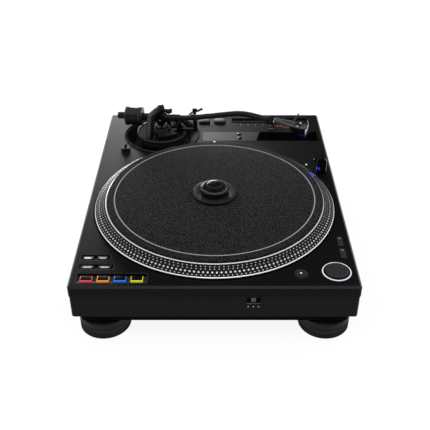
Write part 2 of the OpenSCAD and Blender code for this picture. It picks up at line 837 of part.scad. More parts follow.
// A round key, likewise
module round_key(x, y, r, up, z, press) {
    ledge_z = z - ledge_gap - ledge_t;
    post(x, y, ledge_z, r, up - ledge_z - 0.6);
    translate([x, y, up - 0.6]) cylinder(r1 = r, r2 = r - 0.6, h = 0.6);
    post(x, y, ledge_z, r + key_gap + key_ledge - 0.4, ledge_t);
    post(x, y, press, 1.6, ledge_z - press + 0.5);
}

module start_stop_button() {
    color("#1a1a1b") round_key(start_x, start_y, start_r, top + 1.6, under - 1.5, plate_press - 1);
}

module motor_off_button() {
    color("#1a1a1b") round_key(off_x, off_y, motor_off_r, key_top, under, plate_press);
}

module speed_key(i) {
    color("#2c2c2e") square_key(speed_x, speed_y - i * speed_pitch, speed_w, speed_d, key_top, under,
        plate_press);
}

module row1_key(i) {
    color("#2a2a2c") square_key(row1_x + (i - 0.5) * row1_pitch, row1_y, row1_w, row1_d, top + 0.4,
        tray_floor - tray_floor_t, tray_press);
}

module row2_key(i) {
    color("#2a2a2c") square_key(row2_x + (i - 0.5) * row2_pitch, row2_y, row2_w, row2_d, top + 0.4,
        tray_floor - tray_floor_t, tray_press);
}

module pad(i) {
    tint = ["#d02a20", "#e07a1c", "#2a6ad8", "#d8b41e"];
    color(tint[i]) square_key(pads_x + (i - 1.5) * pad_pitch, pads_y, pad_w, pad_d, top + 0.8,
        tray_floor - tray_floor_t, tray_press);
}

module function_button(i) {
    color("#3a3b3d") square_key(func_x + i * func_pitch, func_y, func_w, func_d, top + 3, under,
        plate_press);
}

module reset_button() {
    color("#111112") round_key(reset_x, reset_y, reset_r, top + 0.6, under, plate_press);
}

// Pocket of a key tray: deep at the back, its floor rising to the deck at the front
module tray_pocket(x, y, w, d) {
    flat = 2;
    translate([x - w / 2, y, 0]) rotate([90, 0, 90]) linear_extrude(w) polygon([
        [-d / 2, top + 1], [-d / 2, top - 1], [d / 2 - flat, tray_floor],
        [d / 2, tray_floor], [d / 2, top + 1]
    ]);
}

// One key tray: walls in the deck's opening, a flange under the deck and the keys' holes
module key_tray(x, y, w, d, holes) {
    fit = 0.3;
    wall = 0.8;
    low = tray_floor - tray_floor_t;
    difference() {
        union() {
            block(x, y, low, w - fit, d - fit, top - 0.2 - low);
            block(x, y, low, w + 3, d + 3, under - low);
        }
        tray_pocket(x, y, w - fit - 2 * wall, d - fit - 2 * wall);
        for (h = holes) block(h[0], h[1], low - 1, h[2] + 2 * key_gap, h[3] + 2 * key_gap, tray_depth + 3);
    }
}

module key_trays() {
    color("#3b3c3f") {
        key_tray(pads_x, pads_y + 2.25, pads_in_w, pads_in_d,
            [for (i = [0 : pads_n - 1]) [pads_x + (i - 1.5) * pad_pitch, pads_y, pad_w, pad_d]]);
        key_tray(row2_x, row2_y + 0.8, row2_in_w, row2_in_d,
            [for (i = [0, 1]) [row2_x + (i - 0.5) * row2_pitch, row2_y, row2_w, row2_d]]);
        key_tray(row1_x, row1_y + 0.85, row1_in_w, row1_in_d,
            [for (i = [0, 1]) [row1_x + (i - 0.5) * row1_pitch, row1_y, row1_w, row1_d]]);
    }
}

module display_glass() {
    color("#050506") translate([0, 0, top - strip_t]) linear_extrude(strip_t + 0.1) glass_plan(0);
}

module label_strip() {
    color("#6c6d70") difference() {
        translate([0, 0, top - strip_t]) linear_extrude(strip_t + 0.1) label_plan(0);
        for (p = strip_lenses) post(p[0], p[1], top - 3, p[2] + lens_clear, 5);
    }
}

// Light ring, indicator lenses and the window of the strobe tower
module indicator_lenses() {
    color("#f4f4f2") {
        difference() {
            union() {
                post(start_x, start_y, under, start_ring_r, plate_t + 0.8);
                post(start_x, start_y, under - 1.5, start_ring_r + 1.8, 1.5);
            }
            post(start_x, start_y, under - 3, start_r + key_gap, plate_t + 6);
        }
        for (p = lenses) post(p[0], p[1], under, p[2], plate_t + 0.3);
        block(marker[0], marker[1], under, marker[2], marker[2], plate_t + 0.3);
        for (p = strip_lenses) post(p[0], p[1], under, p[2], plate_t + 1.2);
        strobe_window(0);
    }
}

// Board under a group of keys: spacers up to the sheet above and a switch under each key
module key_board(x, y, w, d, spacers, sheet, keys, press) {
    lid = board_z + board_t;
    block(x, y, board_z, w, d, board_t);
    for (p = spacers) post(x + p[0], y + p[1], lid, 1.2, sheet - lid);
    for (p = keys) block(x + p[0], y + p[1], lid, 5, 5, press - press_gap - lid);
}

module circuit_boards() {
    low = cover_z + cover_t + 3;
    tray_low = tray_floor - tray_floor_t;
    color("#1f5a34") {
        block(70, 120, low, 146, 96, board_t);
        block(40, 120, low + board_t, 26, 26, 2);
        block(100, 110, low + board_t, 18, 34, 3);
        block(-75, 90, low, 106, 76, board_t);
        block(-95, 90, low + board_t, 36, 32, 15);
        for (x = [-58, -44]) post(x, 78, low + board_t, 5.5, 14);
        key_board(pads_x, pads_y, 2 * 43.5, 16, [[-42, 0], [42, 0]], tray_low,
            [for (i = [0 : pads_n - 1]) [(i - 1.5) * pad_pitch, 0]], tray_press);
        key_board(row2_x, row2_y, 47.6, 9, [[-22.4, 0], [22.4, 0]], tray_low,
            [for (i = [0, 1]) [(i - 0.5) * row2_pitch, 0]], tray_press);
        key_board(row1_x, row1_y, 41.6, 9, [[-19.4, 0], [19.4, 0]], tray_low,
            [for (i = [0, 1]) [(i - 0.5) * row1_pitch, 0]], tray_press);
        key_board(speed_x, speed_y - speed_pitch / 2, 9, speed_pitch + 29,
            [[0, speed_pitch / 2 + 13], [0, -speed_pitch / 2 - 13]], under,
            [for (i = [0, 1]) [0, (0.5 - i) * speed_pitch]], plate_press);
        key_board(start_x, start_y, 35, 35,
            [[-15.8, -15.8], [15.8, -15.8], [-15.8, 15.8], [15.8, 15.8]], under,
            [[0, 0]], plate_press - 1);
        key_board(off_x, off_y, 29, 8, [[-13, 0], [13, 0]], under, [[0, 0]], plate_press);
        key_board(func_x + func_pitch / 2, func_y, func_pitch + 32, 9,
            [[-func_pitch / 2 - 14, 0], [func_pitch / 2 + 14, 0]], under,
            [for (i = [0, 1]) [(i - 0.5) * func_pitch, 0]], plate_press);
        key_board(reset_x, reset_y, 24, 8, [[-10.6, 0], [10.6, 0]], under, [[0, 0]], plate_press);
    }
}

// Recess with the slot, and the fader's case under it
module fader_tray() {
    low = top - fader_depth - 2;
    fit = 0.3;
    run = 2 * fader_travel + 9;
    color("#2c2d2f") difference() {
        union() {
            block(fader_x, fader_y, low, fader_l - fit, fader_d - fit, top - 0.2 - low);
            block(fader_x, fader_y, low, fader_l + 3, fader_d + 3, under - low);
            block(fader_x, fader_y, low - 10, run + 14, 13, 10.5);
        }
        block(fader_x, fader_y, top - fader_depth, fader_l - fit - 2, fader_d - fit - 2, fader_depth + 1);
        block(fader_x, fader_y, low - 1, run, slot_w, 5);
        block(fader_x, fader_y, low - 8, run + 6, 9, 8);
    }
}

module tempo_fader() {
    low = top - fader_depth - 2;
    color("#0e0e0f") {
        difference() {
            block(fader_x, fader_y, top - fader_depth + 0.4, cap_w, cap_d, fader_depth - 0.4 + cap_up);
            for (x = [-1, 1]) translate([fader_x + x * (cap_w / 2 + 1.4), fader_y, top + cap_up + 1])
                rotate([0, x * 25, 0]) cube([4, cap_d + 2, 2 * cap_up], center = true);
        }
        block(fader_x, fader_y, low - 4, 8, slot_w - 0.8, 4 + fader_depth);
        block(fader_x, fader_y, low - 6, 9, 7.8, 4);
    }
}

// Strobe tower with a rounded top, and the window in its side towards the platter
module strobe_tower() {
    r = strobe_w / 2;
    color("#0b0b0c") difference() {
        union() {
            block(strobe_x, strobe_y, top, strobe_w, strobe_d, strobe_h - r);
            translate([strobe_x, strobe_y, top + strobe_h - r]) rod_y(-strobe_d / 2, strobe_d / 2, r);
            post(strobe_x, strobe_y, under - 4, 3, plate_t + 5);
        }
        strobe_window(0.1);
    }
}

module strobe_window(grow) {
    translate([strobe_x - strobe_w / 2, strobe_y - 3, top + 7])
        cube([3 + 2 * grow, 5.6 + 2 * grow, 5 + 2 * grow], center = true);
}

module shell_post() {
    color("#0d0d0e") translate([post_x, post_y, 0]) {
        post(0, 0, top, shell_post_r - 0.6, 1);
        post(0, 0, top + 1, shell_post_r, 2);
        translate([0, 0, top + 3]) cylinder(r1 = shell_post_r, r2 = shell_post_r - 0.6, h = 0.6);
        post(0, 0, under - 3, 3, plate_t + 5);
        post(0, 0, top + 3, 2.2, shell_post_h - 3.6);
        translate([0, 0, top + shell_post_h - 0.6]) cylinder(r1 = 2.2, r2 = 1.6, h = 0.6);
    }
}

module target_light() {
    low = top - target_travel - 8;
    color("#1b1b1d") translate([target_x, target_y, 0]) {
        post(0, 0, low, target_r, top + target_up - 0.6 - low);
        translate([0, 0, top + target_up - 0.6]) cylinder(r1 = target_r, r2 = target_r - 0.6, h = 0.6);
        post(0, 0, low, target_r + 1.2, 2);
    }
}

// Front switch: a plate behind the wall and a ribbed nub in the window
module front_switch() {
    wall = -base_d / 2 + 2.4;
    color("#2b2b2d") translate([switch_x, wall, switch_z]) {
        translate([0, 1.4, 0]) cube([switch_w + 2 * switch_travel, 2, switch_h + 2.4], center = true);
        translate([0, -0.4, 0]) cube([nub_w, 2.4, switch_h - 0.8], center = true);
        for (x = [-1.6, 0, 1.6]) translate([x, -1.6, 0]) cube([0.7, 0.8, switch_h - 0.8], center = true);
    }
}

// Rear fittings

module rocker_hole() {
    translate([rocker_x, bay_y + 1.2, jack_z]) {
        cube([rocker_w + 0.8, 6, 14.6], center = true);
        rod_x(-rocker_w / 2 - 1.7, rocker_w / 2 + 1.7, 1 + 0.1);
    }
}

module jack_bay() {
    wall = 2;
    plate = 2.4;
    color("#1a1a1b") difference() {
        translate([0, bay_y + bay_d / 2 - 0.1, jack_z]) cube([bay_w, bay_d - 0.2, bay_h], center = true);
        translate([0, bay_y + plate + bay_d / 2, jack_z])
            cube([bay_w - 2 * wall, bay_d, bay_h - 2 * wall], center = true);
        for (x = jack_x) translate([x, bay_y, jack_z]) rod_y(-1, 5, 3.6);
        translate([ground_x, bay_y, jack_z]) rod_y(-1, 5, 1.9);
        translate([usb_x, bay_y, jack_z]) cube([12.2, 9, 10.8], center = true);
        translate([inlet_x, bay_y, jack_z]) cube([20.3, 9, 11.3], center = true);
        rocker_hole();
    }
}

// Phono jacks, ground terminal and data socket
module rear_sockets() {
    face = bay_y + 2.4;
    color("#c8b27a") {
        for (x = jack_x) translate([x, 0, jack_z]) difference() {
            union() {
                rod_y(face, face + 1, 5.6);
                rod_y(face, face + 1 + jack_l, jack_r);
                rod_y(bay_y - 6, face, 3.5);
                rod_y(bay_y - 2, bay_y, 5.4);
            }
            rod_y(face + 2, face + 3 + jack_l, 1.6);
        }
        translate([ground_x, 0, jack_z]) {
            rod_y(bay_y - 6, face + 7, 1.8);
            rod_y(face, face + 1, 3.4);
            rod_y(face + 2, face + 6.5, 3.6);
            rod_y(bay_y - 2, bay_y, 3.4);
        }
        translate([usb_x, 0, jack_z]) difference() {
            translate([0, face - 6, 0]) cube([12, 13, 10.6], center = true);
            translate([0, face - 4.4, 0]) cube([8.4, 11, 7.8], center = true);
        }
    }
}

// Two-pin mains inlet
module power_inlet() {
    face = bay_y + 2.4;
    color("#0f0f10") translate([inlet_x, 0, jack_z]) {
        difference() {
            translate([0, face - 6, 0]) cube([20, 14, 11], center = true);
            for (x = [-3.6, 3.6]) translate([x, 0, 0]) rod_y(face - 10, face + 4, 3.7);
            translate([0, face - 3, 0]) cube([7.2, 14, 5.4], center = true);
        }
        for (x = [-4.3, 4.3]) translate([x, 0, 0]) rod_y(face - 15, face - 1, 1.15);
    }
}

module power_switch() {
    color("#0d0d0e") translate([rocker_x, bay_y + 1.2, jack_z]) {
        translate([-rocker_w / 2, 0, 0]) rotate([90, 0, 90]) linear_extrude(rocker_w)
            polygon([[-3.8, -5.2], [1.8, -5.6], [2.6, 0], [4.6, 4.8], [-3.8, 5.2]]);
        rod_x(-rocker_w / 2 - 1.4, rocker_w / 2 + 1.4, 1);
    }
}

// Tone arm's stand

module arm_well() {
    d = arm_well_depth;
    r = arm_well_r;
    color("#3a3b3e") difference() {
        union() {
            translate([pivot_x, pivot_y + arm_well_back, top]) rotate_extrude($fn = 144) polygon([
                [0, -d - dish_t], [dish_flat + 0.8, -d - dish_t], [r - 1.6, -plate_t + 0.6], [r - 1.6, 0],
                [r, 0], [r, 0.5], [r - 0.4, 0.8], [r - 1.2, 0.8], [r - 2, 0.2], [dish_flat, -d], [0, -d]
            ]);
            post(pivot_x, pivot_y, dish_z - 10, sleeve_out, 10 + arm_well_depth + 3.4);
        }
        post(pivot_x, pivot_y, dish_z - 11, column_r + guide_clear, 40);
        post(0, py, dish_z - 20, well_out + 0.5, 60);
    }
}

module height_ring() {
    low = -arm_well_depth + 0.3;
    bore = sleeve_out + run_gap;
    r = height_ring_r;
    h = height_ring_z;
    color("#19191b") translate([pivot_x, pivot_y, top]) rotate_extrude($fn = 96) polygon([
        [bore, low], [r - 5, low], [r - 5, -0.6], [r - 0.5, -0.6], [r, -0.1], [r, h - 0.9], [r - 0.9, h],
        [ring_bore + 0.5, h], [ring_bore, h - 0.5], [ring_bore, 1.4], [r - 8.6, 1.4],
        [r - 8.6, low + ring_web], [bore, low + ring_web]
    ]);
}

// The upright and the bar that carry the upper pivot, drawn on the side
module pivot_bridge() {
    low = height_ring_z - 1;
    lid = arm_z + gimbal_r + 0.5;
    rotate([0, 0, bridge_a]) rotate([90, 0, 0]) translate([0, 0, -bridge_w / 2]) linear_extrude(bridge_w)
        polygon([
            [35.2, low], [28.6, lid - 1.4], [26.4, lid + 1.4], [4, lid + 5], [-3, lid + 5], [-3, lid + 0.4],
            [4.5, lid + 0.4], [18, lid - 2.6], [21.5, lid - 6.4], [28, low]
        ]);
}

module arm_base() {
    z0 = height_ring_z - 0.5;
    lid = arm_z + gimbal_r + 0.5;
    color("#151516") {
        arm_frame() difference() {
            union() {
                post(0, 0, z0 - arm_plate_t, arm_plate_r, arm_plate_t);
                post(0, 0, -20 - height_travel, column_r, 20 + height_travel + z0 - 1);
                post(0, 0, z0 - 1, tower_r, tower_h + 1);
                post(0, 0, z0 - 1, tower_r - 4.4, tower_h + 3);
                translate([0, 0, z0 - 0.5]) rotate([0, 0, -89]) rotate_extrude(angle = 53)
                    translate([22, 0]) square([12.8, scale_h + 0.5]);
                pivot_bridge();
                post(0, 0, lid, pivot_cap_r, 7);
                translate([0, 0, lid + 7]) cylinder(r1 = pivot_cap_r, r2 = pivot_cap_r - 0.8, h = 0.6);
                post(cue_at[0], cue_at[1], z0 - 1, cue_column_r, cue_column_z - z0 - 1);
                post(cue_at[0], cue_at[1], cue_column_z - 5.6, cue_disc_r, 4.8);
                translate([cue_at[0], cue_at[1], cue_column_z - 0.8])
                    cylinder(r1 = cue_disc_r, r2 = cue_disc_r - 0.8, h = 0.8);
                post(rod_at[0], rod_at[1], z0 - 1, 4.2, 7.5);
                block(lever_at[0], lever_at[1], z0 - 1, 5, 5, 10);
                rotate([0, 0, atan2(rest_y, rest_x)]) {
                    translate([25.2, -3, z0 + 1]) cube([rest_x - 24, 6, 3.4]);
                    translate([25.2, -3, z0 - 1]) cube([9, 6, 3]);
                }
            }
            post(0, 0, z0 + 1.4, pin_r + pin_clear, 20);
            post(0, 0, lid - 1, pin_r + pin_clear, 5.6);
            post(rod_at[0], rod_at[1], -10, rod_r + guide_clear, 40);
            post(skate_at[0], skate_at[1], z0 - 3, 1.9, 10);
            translate([lever_at[0], lever_at[1], z0 + 6]) rod_y(-5, 5, 1.5);
        }
        arm_rest();
    }
}

// Ledge under the tube and the prong behind it, with the clip's knuckle on top
module arm_rest() {
    z0 = top + height_ring_z + 0.5;
    prong = tube_r + 1.2;
    rest_frame() difference() {
        union() {
            block(0, 2, z0, rest_w, 12, rest_under - z0);
            translate([-rest_w / 2, prong, z0]) cube([rest_w, 3.4, clip_z - 3 - z0]);
            translate([-1.2, prong, clip_z - 4]) cube([2.4, 3.4, 4]);
            translate([0, clip_y, clip_z]) rod_x(-1.2, 1.2, 2.2);
        }
        translate([0, clip_y, clip_z]) rod_x(-4, 4, 1);
    }
}

// Clip that swings over the parked tube: two knuckles, a finger tab and a hook
module arm_clip() {
    color("#0f0f10") rest_frame() translate([0, clip_y, clip_z]) {
        for (x = [-1, 1]) {
            translate([x * 2.45 - 0.95, 0, 0]) rod_x(0, 1.9, 2.2);
            translate([x * 2.45 - 0.95, -1.5, 0]) cube([1.9, 3, 3.8]);
        }
        rod_x(-3.4, 3.4, 0.9);
        translate([-3.4, -1.5, 2.5]) cube([6.8, 3, 1.3]);
        translate([2.9, 0, -0.9]) rotate([0, -20, 0]) translate([0, -1.5, -1.2]) cube([10.6, 3, 2.4]);
        translate([-2.9, 0, -0.8]) rotate([0, -39, 0]) translate([-8.8, -1, -0.9]) cube([8.8, 2, 1.8]);
    }
}

module anti_skate_knob() {
    z0 = height_ring_z - 0.5;
    color("#b8babd") arm_frame() translate([skate_at[0], skate_at[1], 0]) {
        post(0, 0, z0 + 0.4, skate_r, skate_h - 1);
        translate([0, 0, z0 + skate_h - 0.6]) cylinder(r1 = skate_r, r2 = skate_r - 0.6, h = 0.6);
        post(0, 0, z0 - 2.6, 1.6, 4);
    }
}

// Cueing lever, raised, on a pin through its stand
module cue_lever() {
    z0 = height_ring_z - 0.5;
    color("#b8babd") arm_frame() translate([lever_at[0], lever_at[1], z0 + 6]) {
        rod_y(-3.4, 4, 1.2);
        rod_y(2.9, 5.2, 2.4);
        rotate([0, -25, 0]) translate([0, 2.9, -1.3]) cube([30, 2.3, 2.6]);
        rotate([0, -25, 0]) translate([25, 0.9, -1.6]) cube([7, 6.3, 3.2]);
    }
}

// Curved bar under the tube on a guide rod
module lifter_bar() {
    bar = arm_z - sleeve_r - 0.6;
    low = height_ring_z - 0.5 - arm_plate_t + 0.2 + lift_travel;
    color("#1a1a1b") arm_frame() {
        rotate([0, 0, -46]) rotate_extrude(angle = 70) translate([arc_r - 2, bar - 2.4]) square([4, 2.4]);
        post(rod_at[0], rod_at[1], low, rod_r, bar - 1 - low);
    }
}

module gimbal() {
    color("#6d6f73") tube_frame() {
        difference() {
            rod_x(-gimbal_w / 2, gimbal_w / 2, gimbal_r);
            rod_x(-gimbal_w, gimbal_w, gimbal_in);
            rod_y(-gimbal_r - 1, gimbal_r + 1, pin_r + pin_clear);
        }
        post(0, 0, gimbal_r - 1.4, pin_r, 5.6);
        post(0, 0, -gimbal_r - 0.4, 4.4, 2.4);
        post(0, 0, height_ring_z + 1.2 - arm_z, pin_r, arm_z - gimbal_r - height_ring_z - 1.2 + 1);
    }
}

// Bent tube: the straight lengths lap over the bends by a hair and are a hair thicker
module arm_tube() {
    lap = 0.4;
    step = 0.03;
    color("#1d1d1f") tube_frame() {
        rod_x(-12, 8, block_r);
        rod_x(-stub_l, -11, stub_r);
        rod_y(-gimbal_r + 0.6, gimbal_r - 0.6, pin_r);
        rod_x(7, sleeve_l, sleeve_r);
        translate([tube_l1, bend_r1, 0]) rotate([0, 0, -90]) rotate_extrude(angle = bend_a1)
            translate([bend_r1, 0]) circle(r = tube_r);
        translate([b1[0], b1[1], 0]) rotate([0, 0, bend_a1]) rod_x(-lap, tube_l2 + lap, tube_r + step);
        translate([c2[0], c2[1], 0]) rotate([0, 0, 90 + end_a]) rotate_extrude(angle = bend_a2)
            translate([bend_r2, 0]) circle(r = tube_r);
        translate([b3[0], b3[1], 0]) rotate([0, 0, end_a]) rod_x(-lap, tube_l3 + 6.5, tube_r + step);
    }
}

module lathe_x() {
    rotate([0, 90, 0]) rotate_extrude() children();
}

module counterweight() {
    x1 = -dial_gap - dial_l - 0.3;
    x0 = x1 - weight_l;
    bore = stub_r + 0.3;
    r = weight_r;
    color("#202123") tube_frame() lathe_x() polygon([
        [bore, x0], [r - 1.4, x0], [r, x0 + 1.4], [r, x0 + 5.4], [r - 0.7, x0 + 6], [r - 0.7, x1 - 0.4],
        [r - 1.1, x1], [weight_hollow_r, x1], [weight_hollow_r, x0 + 4.9],
        [bore, x0 + 4.9]
    ]);
}

module force_dial() {
    x1 = -dial_gap;
    x0 = x1 - dial_l;
    bore = stub_r + 0.3;
    r = weight_r;
    color("#9a9ca0") tube_frame() lathe_x() polygon([
        [bore, x0], [r - 0.4, x0], [r, x0 + 0.4], [r, x1 - 1.2], [r - 1.2, x1], [bore, x1]
    ]);
}

// Head

module locking_collar() {
    color("#121213") shell_frame() difference() {
        union() {
            rod_x(0.4, collar_l + 0.4, collar_r - 0.4);
            rod_x(2, collar_l - 1, collar_r);
        }
        rod_x(-1, collar_l + 2, tube_r + 0.4);
    }
}

// Plate with slots, a neck with its plug, terminals and a finger lift
module headshell() {
    x0 = collar_l + 0.9;
    x1 = x0 + shell_l;
    w = shell_w / 2;
    low = shell_low;
    color("#58595c") shell_frame() {
        difference() {
            union() {
                translate([0, 0, low]) linear_extrude(shell_t) polygon([
                    [x0 + 2, -3.4], [x0 + 9, -5], [x0 + 21, -w], [x1 - 4, -w], [x1, -w + 2.4],
                    [x1, w - 2.4], [x1 - 4, w], [x0 + 21, w], [x0 + 9, 5], [x0 + 2, 3.4]
                ]);
                rod_x(x0, x0 + 9, 4.8);
                rod_x(x0, x0 + 1.6, 5.2);
                rod_x(7, x0 + 1, tube_r - 0.1);
            }
            translate([x0 + 11, -1.1, low - 1]) cube([20, 2.2, shell_t + 2]);
            for (y = [-1, 1]) translate([x0 + 33.5, y * 6.35 - 1.2, low - 1]) cube([14, 2.4, shell_t + 2]);
        }
        translate([x1 - 25, w - 2, shell_up - 0.6]) rotate([12, 0, 0]) rod_y(0, 19, 0.9);
        for (y = lead_y) post(terminal_x, y, lead_z, 0.7, low - lead_z + 0.2);
    }
}

module cartridge() {
    low = shell_low;
    x1 = cart_x0 + cart_l;
    color("#0e0e10") shell_frame() {
        translate([cart_x0, -cart_w / 2, low - cart_h]) cube([cart_l, cart_w, cart_h]);
        translate([cart_x0 + 12, -4.2, low - cart_h - 3]) cube([cart_l - 12.4, 8.4, 3.2]);
        translate([x1 - 1.6, 0, -stylus_drop])
            cylinder(r1 = 0.2, r2 = 1.2, h = stylus_drop + low - cart_h - 2.8);
        for (y = lead_y) translate([0, y, lead_z + 0.7]) rod_x(lead_end - 0.8, cart_x0 + 1, 0.7);
    }
}

module headshell_leads() {
    color("#a03028") shell_frame() for (y = lead_y)
        translate([terminal_x + lead_bend, y, lead_z]) rotate([-90, 0, 0])
            rotate_extrude(angle = 180) translate([lead_bend, 0]) circle(r = lead_r, $fn = 24);
}

// The sub-parts
deck_plate();
base_chassis();
bottom_cover();
motor_stator();
spindle_bearing();
circuit_boards();
arm_well();
key_trays();
display_glass();
label_strip();
fader_tray();
indicator_lenses();
strobe_tower();
shell_post();
jack_bay();
rear_sockets();
power_inlet();
case_screws();
platter();
rotor_magnet();
spindle();
slipmat();
record_clamp();
start_stop_button();
motor_off_button();
speed_key(0);  // speed_key_1
speed_key(1);  // speed_key_2
row1_key(0);  // mode_key_1
row1_key(1);  // mode_key_2
row2_key(0);  // mode_key_3
row2_key(1);  // mode_key_4
pad(0);  // pad_1
pad(1);  // pad_2
pad(2);  // pad_3
pad(3);  // pad_4
function_button(0);  // function_button_1
function_button(1);  // function_button_2
reset_button();
tempo_fader();
front_switch();
power_switch();
target_light();
foot(-1, -1);  // foot_1
foot(1, -1);  // foot_2
foot(-1, 1);  // foot_3
foot(1, 1);  // foot_4
height_ring();
arm_base();
arm_clip();
anti_skate_knob();
cue_lever();
lifter_bar();
gimbal();
arm_tube();
locking_collar();
headshell();
cartridge();
headshell_leads();
counterweight();
force_dial();
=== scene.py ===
# Direct-drive disc player for records, with an S-shaped tone arm along its far edge.
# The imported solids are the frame: each section dresses or replaces one piece of it, in the order
# of assembly. Points are written in millimetres and become metres as a piece is made.
import math

import bmesh
import bpy
from mathutils import Matrix, Vector


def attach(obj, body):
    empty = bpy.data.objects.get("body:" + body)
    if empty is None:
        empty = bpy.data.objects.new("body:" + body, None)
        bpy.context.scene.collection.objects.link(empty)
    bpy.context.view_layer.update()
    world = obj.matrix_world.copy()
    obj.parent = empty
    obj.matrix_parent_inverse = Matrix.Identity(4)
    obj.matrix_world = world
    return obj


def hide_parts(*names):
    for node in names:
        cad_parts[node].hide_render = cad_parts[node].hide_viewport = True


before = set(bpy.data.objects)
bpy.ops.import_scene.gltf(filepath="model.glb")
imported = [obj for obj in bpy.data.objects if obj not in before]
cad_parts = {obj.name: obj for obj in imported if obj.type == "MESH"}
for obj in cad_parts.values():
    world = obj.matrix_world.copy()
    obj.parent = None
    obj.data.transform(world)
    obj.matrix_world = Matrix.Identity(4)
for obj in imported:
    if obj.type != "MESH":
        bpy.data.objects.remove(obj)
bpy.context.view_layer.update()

bpy.context.scene.view_settings.view_transform = "Standard"


# Base and bottom cover
# The lower body is a thick black moulding with a fine spark-eroded texture, closed from below by
# a shallow cover of the same plastic. Oxide-black screws go up through the cover into the base,
# and through the base into the casting.

def linear(colour):
    """An sRGB hex colour as linear red, green, blue and alpha."""
    channels = [int(colour[i:i + 2], 16) / 255 for i in (1, 3, 5)]
    return [c / 12.92 if c <= 0.04045 else ((c + 0.055) / 1.055) ** 2.4 for c in channels] + [1.0]


def add(material, kind, sockets=None, **settings):
    """Adds one node to a material; a socket takes a value, or the output that feeds it."""
    tree = material.node_tree
    made = tree.nodes.new("ShaderNode" + kind)
    for name, value in settings.items():
        setattr(made, name, value)
    for name, value in (sockets or {}).items():
        if isinstance(value, bpy.types.NodeSocket):
            tree.links.new(value, made.inputs[name])
        else:
            made.inputs[name].default_value = value
    return made


# Most of a noise lies between these two values, and the tints start a little further in.
NOISE_LOW, NOISE_HIGH = 0.3, 0.7
TINTS_AT = (0.35, 0.65)


def finish(name, colour, grain, depth, rough, tints=None, detail=3.0, **sockets):
    """A material: bumps of a grain and depth in mm, which its roughness and its tints follow.

    What is the same all over is set on the shader's own sockets.
    """
    material = bpy.data.materials.new(name)
    material.use_nodes = True
    links = material.node_tree.links
    shader = material.node_tree.nodes["Principled BSDF"].inputs
    shader["Base Color"].default_value = linear(colour)
    for socket, value in sockets.items():
        shader[socket.replace("_", " ")].default_value = value
    place = add(material, "TexCoord").outputs["Object"]
    noise = add(material, "TexNoise", {"Vector": place, "Scale": 1000 / grain, "Detail": detail})
    height = noise.outputs["Fac"]
    bump = add(material, "Bump", {"Height": height, "Distance": depth / 1000, "Strength": 1.0})
    spread = add(material, "MapRange", {"Value": height, "From Min": NOISE_LOW,
                                        "From Max": NOISE_HIGH, "To Min": rough[0],
                                        "To Max": rough[1]})
    links.new(bump.outputs["Normal"], shader["Normal"])
    links.new(spread.outputs["Result"], shader["Roughness"])
    if tints:
        ramp = add(material, "ValToRGB", {"Fac": height})
        for element, position, tint in zip(ramp.color_ramp.elements, TINTS_AT, tints):
            element.position = position
            element.color = linear(tint)
        links.new(ramp.outputs["Color"], shader["Base Color"])
    return material


def dress(material, *nodes):
    """Puts a finish on solids that keep their own shape."""
    for name in nodes:
        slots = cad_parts[name].data.materials
        slots.clear()
        slots.append(material)


# Moulded ABS with a spark-eroded texture: matt, with a soft broken sheen. The texture is drawn at
# 0.8 mm to show.
moulded_abs = finish("moulded black ABS", "#0b0b0c", grain=0.8, depth=0.02, rough=(0.44, 0.6),
                     Specular_IOR_Level=0.08)
dress(moulded_abs, "base_chassis")
# Matt ABS as it leaves the tool: dead black, and it mirrors next to nothing.
matt_abs = finish("matt black ABS", "#070708", grain=0.8, depth=0.02, rough=(0.6, 0.75),
                  Specular_IOR_Level=0.02)
dress(matt_abs, "bottom_cover")
# Steel blackened by an oxide bath: dark, with a faint metallic sheen.
oxide_steel = finish("black oxide steel", "#2a2a2c", grain=0.5, depth=0.01, rough=(0.35, 0.5),
                     Metallic=1.0)
dress(oxide_steel, "case_screws")


# Feet
# Each foot is a drum with a plain band above two ribbed ones, on a stud that screws into the
# cover. It is moulded in hard rubber, and the ribs give a grip to set its height.
FOOT_X, FOOT_Y = 141.0, 190.5
RIBS, RIB_DEPTH = 80, 1.4
FOOT = [
    (0, 0), (30.6, 0), (31.6, 0.3), (32.3, 0.9), (32.7, 1.6),
    (32.7, 2.2, RIB_DEPTH), (32.7, 6.9, RIB_DEPTH), (31.7, 7.2), (31.7, 7.9),
    (32.7, 8.2, RIB_DEPTH), (32.7, 15.7, RIB_DEPTH), (32.0, 16.1), (32.0, 16.7),
    (32.6, 17.2), (32.6, 23.1), (32.3, 23.8), (31.6, 24.25), (23.7, 24.25),
    (23.7, 26.85), (6, 26.85), (6, 38.85), (0, 38.85)
]


def turned(profile, steps=128, start=0, sweep=360):
    """A form turned on a lathe about Z: radius, height, and a rib's depth where one runs."""
    points, faces = [], []
    count = len(profile)
    rows = steps if sweep == 360 else steps + 1
    for i in range(rows):
        angle = math.radians(start + sweep * i / steps)
        for radius, height, *rib in profile:
            r = radius - (rib[0] if rib and i % 2 else 0)
            points.append((r * math.cos(angle), r * math.sin(angle), height))
    for i in range(steps):
        a, b = i * count, (i + 1) % rows * count
        faces += [(a + k, b + k, b + k + 1, a + k + 1) for k in range(count - 1)]
    return points, faces


